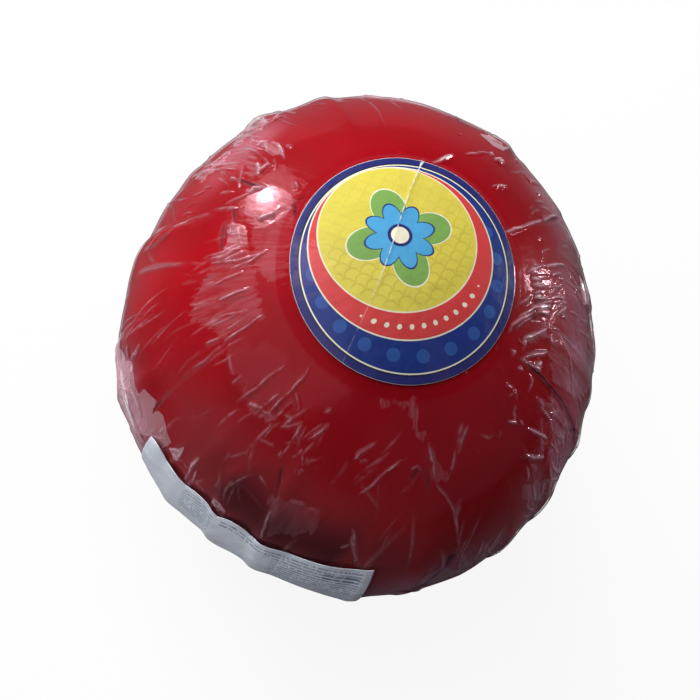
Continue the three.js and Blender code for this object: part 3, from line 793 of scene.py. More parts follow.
# %% Slackness
# Azimuth and polar angle of the middle, how slack, half width across and down in millimetres.
SLACK_SHOULDER, SLACK_FLANK, SLACK_PATCHES = 0.18, 0.35, 0.3
SLACK_PLACES = [
    (24, 46, 0.9, 22, 13), (-8, 60, 0.9, 15, 18), (60, 56, 0.6, 16, 12), (168, 54, 0.8, 16, 9),
    (120, 66, 0.5, 26, 9), (-130, 82, 0.9, 18, 12), (-40, 84, 0.8, 26, 16), (-100, 66, 0.25, 14, 10),
    (-84, 69, -0.3, 11, 9),
]


def slackness(polar, azimuth):
    """A little everywhere below the shoulders, more round each slack place, and patchy."""
    slack = SLACK_SHOULDER * smoothstep(polar, np.radians(30), np.radians(60))
    slack = slack + SLACK_FLANK * smoothstep(polar, np.radians(70), np.radians(100))
    for place in SLACK_PLACES:
        slack = slack + swelling(polar, azimuth, *place)
    return np.clip(slack * (0.8 + SLACK_PATCHES * ripples(film_place, 45, seed=8)), 0, 1)


# %% [markdown]
# ## The overlap
#
# The film is a square, so one of its edges comes down the side, over the layer below. The edge
# is a step of a few tenths of a millimetre from near the label to the limb, with a shallow groove
# at its foot, and painted shade along it makes it show as a dark line. A second sheet could lie
# there, but a step in the one sheet looks the same and can't let one layer come through the other.

# %% Overlap edge
OVERLAP_TOP = -13.0
OVERLAP_FOOT = 2.0
OVERLAP_STEP = 0.3
OVERLAP_GROOVE = 0.16


def overlap_relief(polar, azimuth):
    """A smooth step across a wavy line whose azimuth grows with polar angle, fading as
    exp(-sideways / 9), less groove x exp(-((sideways + 0.7) / 0.5)^2) at its foot."""
    line = np.radians(OVERLAP_TOP + (OVERLAP_FOOT - OVERLAP_TOP) * smoothstep(polar, 0.45, 1.4))
    line = line + 0.012 * np.sin(polar * 17) + 0.006 * np.sin(polar * 41)
    sideways = EQUATOR_RADIUS * np.sin(polar) * turn_between(azimuth, line)
    shown = smoothstep(polar, np.radians(27), np.radians(33))
    raised = OVERLAP_STEP * smoothstep(sideways, -0.25, 0.25)
    raised = raised * np.exp(-np.clip(sideways, 0, None) / 9)
    groove = OVERLAP_GROOVE * np.exp(-((sideways + 0.7) / 0.5) ** 2)
    return (raised - groove) * shown


# %% [markdown]
# ## The film
#
# The film is one sheet from the crown to the gathered foot. A mesh of it that is fine enough for
# the wrinkles is too heavy for one piece, so it is cut into eight gores, like an orange's skin. The
# normals come from the whole sheet, so that the cuts don't show. Solidify could give it a thickness,
# but film is so thin that a second skin would show nothing.

# %% The film's height over the skin
FILM_OVER_LABEL = 0.78
LABEL_CREASE_FROM = (-11.0, 35.0)
LABEL_CREASE_TO = (-2.3, -24.0)
LABEL_CREASE_HEIGHT = 0.32
FINE_LOWEST, FINE_HIGHEST = -0.2, 0.9
UNDER_STRIP = 0.22
FILM_BOTTOM = 0.06


def label_plane(polar, azimuth):
    """East and north of a skin point on a map of the crown, in millimetres along the surface."""
    return EQUATOR_RADIUS * polar * np.cos(azimuth), EQUATOR_RADIUS * polar * np.sin(azimuth)


def past_rim(polar, azimuth):
    """Millimetres outside the round label's rim, negative inside."""
    east, north = label_plane(polar, azimuth)
    north = north - ROUND_OFFSET
    along = (east * np.cos(ROUND_TURN) + north * np.sin(ROUND_TURN)) / ROUND_LONG
    across = (north * np.cos(ROUND_TURN) - east * np.sin(ROUND_TURN)) / ROUND_SHORT
    return (np.hypot(along, across) - 1) * (ROUND_LONG + ROUND_SHORT) / 2


def crease_relief(east, north, width):
    """Height x fading x exp(-across / width) beside the label's wavy crease line; it fades over
    three quarters of the line."""
    start, end = np.array(LABEL_CREASE_FROM), np.array(LABEL_CREASE_TO)
    length = np.linalg.norm(end - start)
    way = (end - start) / length
    along = (east - start[0]) * way[0] + (north - start[1]) * way[1]
    across = (north - start[1]) * way[0] - (east - start[0]) * way[1]
    across = across + 0.5 * np.sin(along / 9.0)
    fading = smoothstep(along, -3, 1) * (1 - smoothstep(along, 0.2 * length, 0.95 * length))
    return LABEL_CREASE_HEIGHT * fading * np.exp(-np.abs(across) / width)


def strip_cover(polar, azimuth):
    """1 under the strip label and 0 away from it, with a soft edge."""
    along = EQUATOR_RADIUS * turn_between(azimuth, STRIP_AZIMUTH) / (STRIP_LENGTH / 2)
    edge = np.radians(STRIP_TOP - STRIP_LEAN * along - STRIP_BEND * along ** 2)
    down = EQUATOR_RADIUS * (polar - edge)
    inside = smoothstep(down, -3, 0) * (1 - smoothstep(down, STRIP_HEIGHT, STRIP_HEIGHT + 3))
    return inside * (1 - smoothstep(np.abs(along), 1.0, 1.08))


pressed = flat_below(film_polar)
slack = slackness(film_polar, film_azimuth)
rim_distance = past_rim(film_polar, film_azimuth)
outside_label = smoothstep(rim_distance, 0.5, 6.0)
panes, pane_number = pane_fields()
wrinkles, painted_highlight, shade = crease_fields(*wrinkle_relief())
patch, milk_and_sheen = patch_fields()
fine = (panes - 0.2) * slack + wrinkles
fine = fine + overlap_relief(film_polar, film_azimuth)
fine = fine + 0.05 * ripples(film_place, 26, seed=4) * outside_label
fine = np.clip(fine * pressed * outside_label, FINE_LOWEST, FINE_HIGHEST)
fine = np.minimum(fine, UNDER_STRIP + 0.8 * (1 - strip_cover(film_polar, film_azimuth)))
bridge = 1 - smoothstep(rim_distance, -0.4, 2.9)
over_label = FILM_OVER_LABEL * bridge + crease_relief(*label_plane(film_polar, film_azimuth), 0.6) * bridge
film_lift = film_relief(film_polar, film_azimuth) + fine + over_label
print("fine relief from", fine.min().round(2), "to", fine.max().round(2), "mm")


# %% Gores
def sheet_normals(grid):
    """Cross product of the steps down and round the closed grid, pointing outwards."""
    down = np.gradient(grid, axis=0)
    around = np.roll(grid, -1, axis=1) - np.roll(grid, 1, axis=1)
    normal = np.cross(down, around)
    return normal / np.maximum(np.linalg.norm(normal, axis=-1, keepdims=True), 1e-12)


def gore(number, values, first, last):
    """One gore's corners of a grid of values, with the value above and the value below at its ends."""
    width = FILM_COLUMNS // FILM_GORES
    columns = np.arange(number * width, (number + 1) * width + 1) % FILM_COLUMNS
    part = values[:, columns]
    return np.concatenate([[first], part.reshape(-1, *part.shape[2:]), [last]])


film_rings = ball_grid(film_polar, film_azimuth, film_lift, FILM_BOTTOM)
film_normals = sheet_normals(film_rings)
film_top = skin(0.0, 0.0, film_lift[0].mean()) + SHIFT
film_foot = SHIFT + [0, 0, FILM_BOTTOM + BASE_HOLLOW]
base_rings = len(film_rings) - len(film_polar)
stand_off = film_lift - wax_lift(film_polar, film_azimuth)
# The wrap's own places, in centimetres: a tube round the ball, as long as the way down its side.
wrap_place = EQUATOR_RADIUS / 10 * np.stack(np.broadcast_arrays(
    np.cos(film_azimuth), np.sin(film_azimuth), film_polar), -1)

# What the film's material reads, each with its value at the crown's corner and at the foot's.
FILM_FIELDS = {
    "stand_off": (stand_off, 1.2, 0.3),
    "slack": (slack, 0.0, 0.3),
    "pane": (pane_number, 0.0, 0.5),
    "fold": (np.clip(wrinkles / 0.3, 0, 1), 0.0, 0.3),
    "shade": (shade, 0.0, 0.0),
    "painted_highlight": (painted_highlight, 0.0, 0.0),
    "milk_and_sheen": (milk_and_sheen, 0.0, 0.0),
    "patch": (patch, -PATCH_REACH, -PATCH_REACH),
    "past_rim": (rim_distance, -33.0, 150.0),
    "wrap_place": (wrap_place, [0, 0, 0], [0, 0, 23.4]),
}


def over_base(values):
    """Values of the side's rings, the last ring's repeated over the base."""
    return np.concatenate([values, np.repeat(values[-1:], base_rings, axis=0)])


def film_gore(number):
    """A gore of the film as its own piece, with the whole sheet's normals."""
    rows, columns = len(film_rings), FILM_COLUMNS // FILM_GORES + 1
    ring = np.arange(columns)
    last = 1 + rows * columns
    foot = 1 + (rows - 1) * columns + ring
    faces = [grid_faces(rows, columns, 1), fan_faces(0, 1 + ring),
             fan_faces(last, foot, outwards=False)]
    points = gore(number, film_rings, film_top, film_foot)
    piece = new_piece(f"clear_film_{number + 1}", points, faces, "cheese_ball")
    normals = gore(number, film_normals, [0, 0, 1], [0, 0, -1])
    piece.data.normals_split_custom_set_from_vertices(normals)
    for name, (values, at_crown, at_foot) in FILM_FIELDS.items():
        give(piece, name, gore(number, over_base(values), at_crown, at_foot))
    return piece


film_gores = [film_gore(number) for number in range(FILM_GORES)]
print("film stands off the wax by", stand_off.min().round(2), "to", stand_off.max().round(2), "mm")

# %% [markdown]
# ## The gathered tail
#
# Under the ball the corners of the film are twisted together and pressed flat by the weight. From
# above nobody sees it, but a reusable part is looked at from all sides. Cloth could be twisted for
# it, but a disc with sharp radial folds that swirl a little has the look and no loose ends, and is
# thin enough to lie inside the shallow dent of the base.

# %% Tail
TAIL_RADIUS = 12.5
TAIL_FOLDS = 26
TAIL_SWIRL = 5.4
TAIL_FLOOR, TAIL_HEIGHT, TAIL_THICKNESS = 0.12, 0.55, 0.07
TAIL_RINGS, TAIL_COLUMNS = 26, 312
TAIL_FIELDS = {"stand_off": 1.0, "slack": 0.5, "pane": 0.9, "fold": 0.5, "shade": 0.0, "painted_highlight": 0.0,
               "milk_and_sheen": 0.0, "patch": -PATCH_REACH, "past_rim": 60.0}


def tail_rings():
    """Height = floor + height x triangle wave of (folds x azimuth / 2 + swirl x reach), lower in
    the middle and at the rim."""
    reach = np.linspace(0, 1, TAIL_RINGS + 1)[1:, None]
    azimuth = np.linspace(-np.pi, np.pi, TAIL_COLUMNS, endpoint=False)[None, :]
    edge = 1 + 0.09 * np.sin(5 * azimuth + 1) + 0.05 * np.sin(13 * azimuth)
    radius = TAIL_RADIUS * reach * edge
    phase = TAIL_FOLDS * azimuth / 2 + TAIL_SWIRL * reach + 0.8 * np.sin(3 * azimuth)
    fold = np.abs(2 * ((phase / np.pi) % 1) - 1)
    height = TAIL_FLOOR + TAIL_HEIGHT * fold * (0.35 + 0.65 * reach) * (1 - 0.6 * reach ** 3)
    return np.stack([radius * np.cos(azimuth), radius * np.sin(azimuth), height], -1)


under = tail_rings()
over = under[::-1] + np.array([0, 0, TAIL_THICKNESS])
tail_points = SHIFT + np.vstack([[0, 0, TAIL_FLOOR], under.reshape(-1, 3), over.reshape(-1, 3),
                                 [0, 0, TAIL_FLOOR + 0.1]])
tail_faces = [part[:, ::-1] for part in closed_faces(2 * TAIL_RINGS, TAIL_COLUMNS)]
tail = new_piece("film_tail", tail_points, tail_faces, "cheese_ball")
give(tail, "wrap_place", tail_points / 10)
for name, value in TAIL_FIELDS.items():
    give(tail, name, np.full(len(tail_points), value))

# %% [markdown]
# ## The round label
#
# The label is coated paper, laid on the wax before the film. It is a thin disc on the skin. One
# crease runs nearly straight across it, where the flat paper had to give way to a round crown.
# There the paper stands up in a low sharp ridge, and its print has cracked to a white line. It
# could be painted on the wax, but then its rim wouldn't lift the film, and that step shows.

# %% Round label
LABEL_RINGS, LABEL_COLUMNS = 84, 420
LABEL_TOP, LABEL_UNDERSIDE = 0.58, 0.38
LABEL_RIM_CURL = 0.12


def label_rings(lift):
    """Rings of the label's ellipse laid on the skin, and the same places on the flat label. Its
    height is relief + lift + crease + curl, and the curl is a wave that grows at the rim."""
    reach = np.linspace(0, 1, LABEL_RINGS + 1)[1:, None]
    around = np.linspace(-np.pi, np.pi, LABEL_COLUMNS, endpoint=False)[None, :]
    along, across = reach * np.cos(around), reach * np.sin(around)
    east = ROUND_LONG * along * np.cos(ROUND_TURN) - ROUND_SHORT * across * np.sin(ROUND_TURN)
    north = ROUND_LONG * along * np.sin(ROUND_TURN) + ROUND_SHORT * across * np.cos(ROUND_TURN)
    north = north + ROUND_OFFSET
    polar = np.hypot(east, north) / EQUATOR_RADIUS
    azimuth = np.arctan2(north, east)
    wave = 0.5 + 0.5 * np.sin(7 * around + 2 * np.sin(3 * around))
    curl = LABEL_RIM_CURL * smoothstep(reach, 0.9, 1.0) * wave
    height = film_relief(polar, azimuth) + lift + crease_relief(east, north, 0.45) + curl
    flat = np.stack([east, north - ROUND_OFFSET, 0 * east], -1)
    return skin(polar, azimuth, height), flat


top, top_flat = label_rings(LABEL_TOP)
bottom, bottom_flat = label_rings(LABEL_UNDERSIDE)
label_middle = skin(ROUND_OFFSET / EQUATOR_RADIUS, np.pi / 2, 0.0)
label_points = np.vstack([
    label_middle + [0, 0, LABEL_TOP], top.reshape(-1, 3),
    bottom[::-1].reshape(-1, 3), label_middle + [0, 0, LABEL_UNDERSIDE]]) + SHIFT
label_faces = closed_faces(2 * LABEL_RINGS, LABEL_COLUMNS)
round_label = new_piece("round_label_print", label_points, label_faces, "round_label")
label_flat = np.vstack([[0, 0, 0], top_flat.reshape(-1, 3), bottom_flat[::-1].reshape(-1, 3),
                        [0, 0, 0]])
give(round_label, "print_place", label_flat)

# %% [markdown]
# ## The strip label
#
# The long label is stuck over the finished wrap, so it takes the film's pleats and bridges the
# hollows. Its upper edge bulges up and curls out between the cusps where it is held down. The grid
# is a flat sheet bent round the side, with a back face so that it is thick at its cut edges. A
# Shrinkwrap modifier would press it into every wrinkle, and stiff paper doesn't go there.

# %% Strip label
STRIP_ROWS, STRIP_COLUMNS = 90, 260
STRIP_CURL, STRIP_CURL_REACH = 0.5, 2.5
STRIP_HALF_THICKNESS = 0.08


def strip_bulge(along):
    """Between the two cusps next to each place: sin(pi x part of the way), and the bulge it gives."""
    passed = np.clip(np.searchsorted(STRIP_CUSPS, along, side="right") - 1, 0, len(STRIP_BULGES) - 1)
    part = (along - STRIP_CUSPS[passed]) / (STRIP_CUSPS[passed + 1] - STRIP_CUSPS[passed])
    rounded = np.sin(np.pi * np.clip(part, 0, 1))
    return rounded, STRIP_BULGES[passed] * rounded


def strip_sheet(side):
    """The flat label bent to the skin. Its polar angle is edge + (down - bulge) / radius. Its lift
    is gap + buckle x rounded^2 x nearness to an edge + curl x rounded x exp(-down / reach), and
    side is -1 for its back and 1 for its front."""
    along = np.linspace(-1, 1, STRIP_COLUMNS)[None, :]
    down = np.linspace(0, STRIP_HEIGHT, STRIP_ROWS)[:, None]
    edge = STRIP_TOP - STRIP_LEAN * along - STRIP_BEND * along ** 2
    rounded, bulge = strip_bulge(along)
    bulge = bulge * np.clip(1 - down / STRIP_BULGE_REACH, 0, 1)
    polar = np.radians(edge) + (down - bulge) / EQUATOR_RADIUS
    azimuth = STRIP_AZIMUTH + along * STRIP_LENGTH / 2 / EQUATOR_RADIUS
    near_edge = np.abs(2 * down / STRIP_HEIGHT - 1)
    lift = LABEL_GAP + LABEL_THICKNESS / 2 + STRIP_HALF_THICKNESS * side
    lift = lift + STRIP_BUCKLE_HEIGHT * rounded ** 2 * near_edge
    lift = lift + STRIP_CURL * rounded * np.exp(-down / STRIP_CURL_REACH)
    polar, azimuth, lift = np.broadcast_arrays(polar, azimuth, lift)
    points = skin(polar, azimuth, film_relief(polar, azimuth) + lift)
    flat = np.stack(np.broadcast_arrays(along * STRIP_LENGTH / 2, down, 0.0), -1)
    return points.reshape(-1, 3), flat.reshape(-1, 3)


def edge_loop(rows, columns):
    """Corner numbers round the border of a grid, in order, back to the first."""
    numbers = np.arange(rows * columns).reshape(rows, columns)
    sides = [numbers[0, :-1], numbers[:-1, -1], numbers[-1, :0:-1], numbers[:0:-1, 0], numbers[0, :1]]
    return np.concatenate(sides)


outer, strip_flat = strip_sheet(1)
inner, _ = strip_sheet(-1)
front = grid_faces(STRIP_ROWS, STRIP_COLUMNS)
back = front[:, ::-1] + len(outer)
border = edge_loop(STRIP_ROWS, STRIP_COLUMNS)
cut_edge = np.stack([border[:-1], border[1:], border[1:] + len(outer), border[:-1] + len(outer)], -1)
strip = new_piece("strip_label_paper", np.vstack([outer, inner]) + SHIFT, [front, back, cut_edge],
                  "strip_label")
give(strip, "print_place", np.vstack([strip_flat, strip_flat]))


# %% [markdown]
# ## Helpers for materials
#
# A material is a net of small nodes. These helpers add one node a call and fill its inputs, so
# that each recipe below reads from top to bottom like a list of steps.

# %% Node helpers
def fill(tree, socket, value):
    """Links a socket into an input, or sets the input to a plain value."""
    if isinstance(value, bpy.types.NodeSocket):
        tree.links.new(value, socket)
    else:
        socket.default_value = value


def add(tree, kind, inputs=None, **options):
    """Adds a node; inputs is a dict by name or a list by place; returns the node."""
    node = tree.nodes.new("ShaderNode" + kind)
    for option, value in options.items():
        setattr(node, option, value)
    pairs = inputs.items() if isinstance(inputs, dict) else enumerate(inputs or [])
    for key, value in pairs:
        fill(tree, node.inputs[key], value)
    return node


def maths(tree, operation, *values, clamp=False):
    """One Math node's output."""
    return add(tree, "Math", values, operation=operation, use_clamp=clamp).outputs[0]


def times(tree, *values):
    """All values multiplied together."""
    return reduce(lambda total, value: maths(tree, "MULTIPLY", total, value), values)


def plus(tree, *values):
    """All values added together."""
    return reduce(lambda total, value: maths(tree, "ADD", total, value), values)


def minus(tree, value, taken):
    """A value less another."""
    return maths(tree, "SUBTRACT", value, taken)


def larger(tree, one, other):
    """The larger of two values."""
    return maths(tree, "MAXIMUM", one, other)


def share(tree, part, whole):
    """A part divided by the whole."""
    return maths(tree, "DIVIDE", part, whole)


def ramp(tree, value, low, high, to_low=0.0, to_high=1.0, kind="SMOOTHSTEP"):
    """Maps low to to_low and high to to_high, clamped, softly unless the kind says otherwise."""
    inputs = {"Value": value, "From Min": low, "From Max": high, "To Min": to_low, "To Max": to_high}
    return add(tree, "MapRange", inputs, interpolation_type=kind).outputs["Result"]


def band(tree, value, low, high, soft):
    """1 between low and high and 0 outside, with edges `soft` wide."""
    rise = ramp(tree, value, low - soft / 2, low + soft / 2)
    fall = ramp(tree, value, high - soft / 2, high + soft / 2)
    return minus(tree, rise, fall)


def inside(tree, value, limit, soft=0.2):
    """1 where the value is below the limit, with an edge `soft` wide."""
    return ramp(tree, value, limit - soft / 2, limit + soft / 2, 1.0, 0.0)


def distance(tree, x, y, at_x=0.0, at_y=0.0):
    """Distance of a place on a print from a point on it."""
    across, up = minus(tree, x, at_x), minus(tree, y, at_y)
    return maths(tree, "SQRT", plus(tree, times(tree, across, across), times(tree, up, up)))


def noise(tree, place, scale, detail=2.0, roughness=0.5):
    """A noise texture's value, about 0.5 on average."""
    inputs = {"Vector": place, "Scale": scale, "Detail": detail, "Roughness": roughness}
    return add(tree, "TexNoise", inputs).outputs["Fac"]


def stretch(tree, place, by):
    """A place multiplied by a vector, to stretch a pattern along an axis."""
    return add(tree, "VectorMath", [place, by], operation="MULTIPLY").outputs[0]


def paint(tree, under, over, mask):
    """Lays one colour over another where the mask is 1."""
    node = add(tree, "Mix", data_type="RGBA", clamp_factor=True)
    for name, value in (("Factor", mask), ("A", under), ("B", over)):
        socket = next(s for s in node.inputs if s.name == name and s.enabled)
        fill(tree, socket, value)
    return next(s for s in node.outputs if s.enabled)


def bump(tree, height):
    """The surface's normal, bent as if the height stood up by so many millimetres."""
    return add(tree, "Bump", {"Height": height, "Strength": 1.0, "Distance": MM}).outputs[0]


def centred(tree, place, middle=(0, 0, 0), turn=0.0, size=(1, 1, 1)):
    """A place seen from a pattern's middle: the rest of the way, turned back and divided by size."""
    inputs = {"Vector": place, "Location": middle, "Rotation": (0, 0, turn), "Scale": size}
    return add(tree, "Mapping", inputs, vector_type="TEXTURE").outputs[0]


def new_group(name, inputs, outputs):
    """An empty node group with named sockets, and the sockets to read from and to write to."""
    group = bpy.data.node_groups.new(name, "ShaderNodeTree")
    for side, sockets in (("INPUT", inputs), ("OUTPUT", outputs)):
        for socket, kind in sockets.items():
            group.interface.new_socket(socket, in_out=side, socket_type="NodeSocket" + kind)
    return group, group.nodes.new("NodeGroupInput").outputs, group.nodes.new("NodeGroupOutput").inputs


def new_material(name):
    """An empty node material and its tree."""
    material = bpy.data.materials.new(name)
    material.use_nodes = True
    tree = material.node_tree
    tree.nodes.clear()
    return material, tree


def finish_material(tree, shader, pieces, material):
    """Wires the last shader to the output and puts the material on its pieces."""
    output = tree.nodes.new("ShaderNodeOutputMaterial")
    tree.links.new(shader, output.inputs["Surface"])
    for piece in pieces:
        piece.data.materials.clear()
        piece.data.materials.append(material)
    print(f"{material.name}: {len(tree.nodes)} nodes, pieces: {len(pieces)}")


def attribute(tree, name, output="Fac"):
    """A corner attribute of the piece that the material is on."""
    return add(tree, "Attribute", attribute_name=name).outputs[output]


# %% [markdown]
# ## Grain
#
# Wax and paper are never quite smooth: a fine roughness lies on slower swells. Each material could
# have its own nodes for that. A group is built once and keeps them alike, and each material places
# it with its own sizes and heights.

# %% Group: surface grain
def grain_group():
    """Height = fine noise x fine height + slow noise x slow height, and both noises by themselves."""
    inputs = {"Place": "Vector"}
    for pace in ("Fine", "Slow"):
        inputs.update({pace + " Scale": "Float", pace + " Detail": "Float", pace + " Height": "Float"})
    outputs = {"Fine": "Float", "Slow": "Float", "Height": "Float"}
    group, given, put = new_group("surface_grain", inputs, outputs)
    heights = []
    for pace in ("Fine", "Slow"):
        value = noise(group, given["Place"], given[pace + " Scale"], given[pace + " Detail"])
        group.links.new(value, put[pace])
        heights.append(times(group, value, given[pace + " Height"]))
    group.links.new(plus(group, *heights), put["Height"])
    return group


SURFACE_GRAIN = grain_group()


def grain(tree, place, fine, slow):
    """The grain group placed in a material, from scale, detail and height of both noises."""
    inputs = {"Place": place}
    for pace, (scale, detail, height) in (("Fine", fine), ("Slow", slow)):
        inputs.update({pace + " Scale": scale, pace + " Detail": detail, pace + " Height": height})
    return add(tree, "Group", inputs, node_tree=SURFACE_GRAIN).outputs


print("surface_grain:", len(SURFACE_GRAIN.nodes), "nodes")

# %% [markdown]
# ## Wax
#
# Cheese wax is a saturated red with hardly any green or blue in it, a little cloudy, and only
# half glossy, because the film does most of the shining. Slow blotches of a deeper red and small
# soft dimples stop it from looking like paint. Light that scatters inside it could do that too, but
# it renders slowly and hardly shows under film.

# %% Wax material
WAX_RED = (0.330, 0.0030, 0.0080, 1)
WAX_DEEP = (0.270, 0.0022, 0.0066, 1)
WAX_CLOUD = (0.370, 0.0100, 0.0170, 1)
WAX_ROUGHNESS, WAX_SHINE = 0.42, 0.06
# Fine and slow grain: scale, detail, and height in millimetres.
WAX_SPECKS, WAX_BLOTCHES = (420.0, 2.0, 0.03), (24.0, 3.0, 0.5)


def wax_material():
    """Red with slow blotches, cloudy specks and a fine dimpled bump."""
    material, tree = new_material("red_cheese_wax")
    dimples = grain(tree, add(tree, "TexCoord").outputs["Object"], WAX_SPECKS, WAX_BLOTCHES)
    red = paint(tree, WAX_DEEP, WAX_RED, ramp(tree, dimples["Slow"], 0.35, 0.65))
    red = paint(tree, red, WAX_CLOUD, ramp(tree, dimples["Fine"], 0.60, 0.78, 0.0, 0.4))
    inputs = {"Base Color": red, "Roughness": WAX_ROUGHNESS, "Specular IOR Level": WAX_SHINE,
              "Normal": bump(tree, dimples["Height"])}
    shader = add(tree, "BsdfPrincipled", inputs)
    finish_material(tree, shader.outputs[0], [wax], material)


wax_material()

# %% [markdown]
# ## Clear film
#
# Clear film is a mirror that lets most light straight through. How much it mirrors grows at a
# slant, which a Fresnel value gives. Where it lies wet on the wax only its outer face mirrors.
# Where it stands off, three faces do: both of the film's and the wax's own. The border between wet
# and dry is sharp, and it is what makes thin film look like film.
#
# One Principled shader does all of it. Its Alpha is how much the film hides, and its Metallic is
# the part of that which mirrors. The rest is a veil of thin haze and painted light: a milky painted
# sheen where the film has let go of the wax, a painted highlight on crests, painted shade in folds
# and along the outline, and a painted reflection, purple to brown, at a slant where loose film is
# seen edge on.
# Glossy and transparent shaders could be mixed for it, but one Principled shader can be exported.

# %% Group: fine creases
def crease_group():
    """Height of hairline creases: edges between stretched cells, and lines of a stretched noise."""
    group, given, put = new_group("fine_creases", {"Place": "Vector", "Size": "Float"},
                                  {"Height": "Float"})
    place, size = given["Place"], given["Size"]
    # the place wanders, so that no crease is ruled straight
    bend = add(group, "TexNoise", {"Vector": place, "Scale": 1.3, "Detail": 2.0}).outputs["Color"]
    bent = add(group, "VectorMath", {0: bend, "Scale": 0.7}, operation="SCALE").outputs[0]
    moved = add(group, "VectorMath", [place, bent], operation="ADD").outputs[0]
    cells = add(group, "TexVoronoi", {"Vector": stretch(group, moved, (1.0, 1.0, 0.5)), "Scale": size},
                feature="DISTANCE_TO_EDGE").outputs["Distance"]
    edges = ramp(group, cells, 0.0, 0.14, 1.0, 0.0)
    streak = noise(group, stretch(group, moved, (1.0, 1.0, 0.18)), times(group, size, 1.3))
    lines = ramp(group, maths(group, "ABSOLUTE", minus(group, streak, 0.5)), 0.0, 0.05, 1.0, 0.0)
    height = plus(group, times(group, edges, 0.6), times(group, lines, 0.4))
    group.links.new(height, put["Height"])
    return group


FINE_CREASES = crease_group()
print("fine_creases:", len(FINE_CREASES.nodes), "nodes")


def creases(tree, place, size):
    """The fine crease group's height, placed in a material with its own size."""
    return add(tree, "Group", {"Place": place, "Size": size}, node_tree=FINE_CREASES).outputs["Height"]


# %% Film material
FILM_IOR = 1.47
WET_FACES, DRY_FACES = 0.85, 2.0
FOLD_FACES = 2.0
DRY_FROM, DRY_TO = 1.50, 1.54
THICK_FROM, THICK_TO = 0.19, 0.215
CREASE_SIZE = 2.3
GLOSSIEST, DULLEST = 0.07, 0.19
# Strength of the painted glints along fine creases where the film is slack.
SCRIBBLE = 0.10
# Strength of the painted reflection on loose film at the limb.
LIMB_REFLECTION = 0.45
EDGE_SHADE = 0.85
# The mirror's tint, then the veil's colours: painted sheen in thick patches, haze with painted sheen,
# painted highlight, painted shade, and the limb's painted reflection.
MIRROR_TINT = (1.0, 0.68, 0.76, 1)
MILK_AND_SHEEN_PINK = (0.91, 0.58, 0.65, 1)
HAZE_AND_SHEEN_PINK = (0.97, 0.40, 0.49, 1)
HIGHLIGHT_WHITE = (0.98, 0.88, 0.91, 1)
PAINTED_SHADE_DARK = (0.030, 0.002, 0.005, 1)
LIMB_REFLECTION_BROWN = (0.44, 0.18, 0.22, 1)
LIMB_REFLECTION_PURPLE = (0.95, 0.26, 0.52, 1)


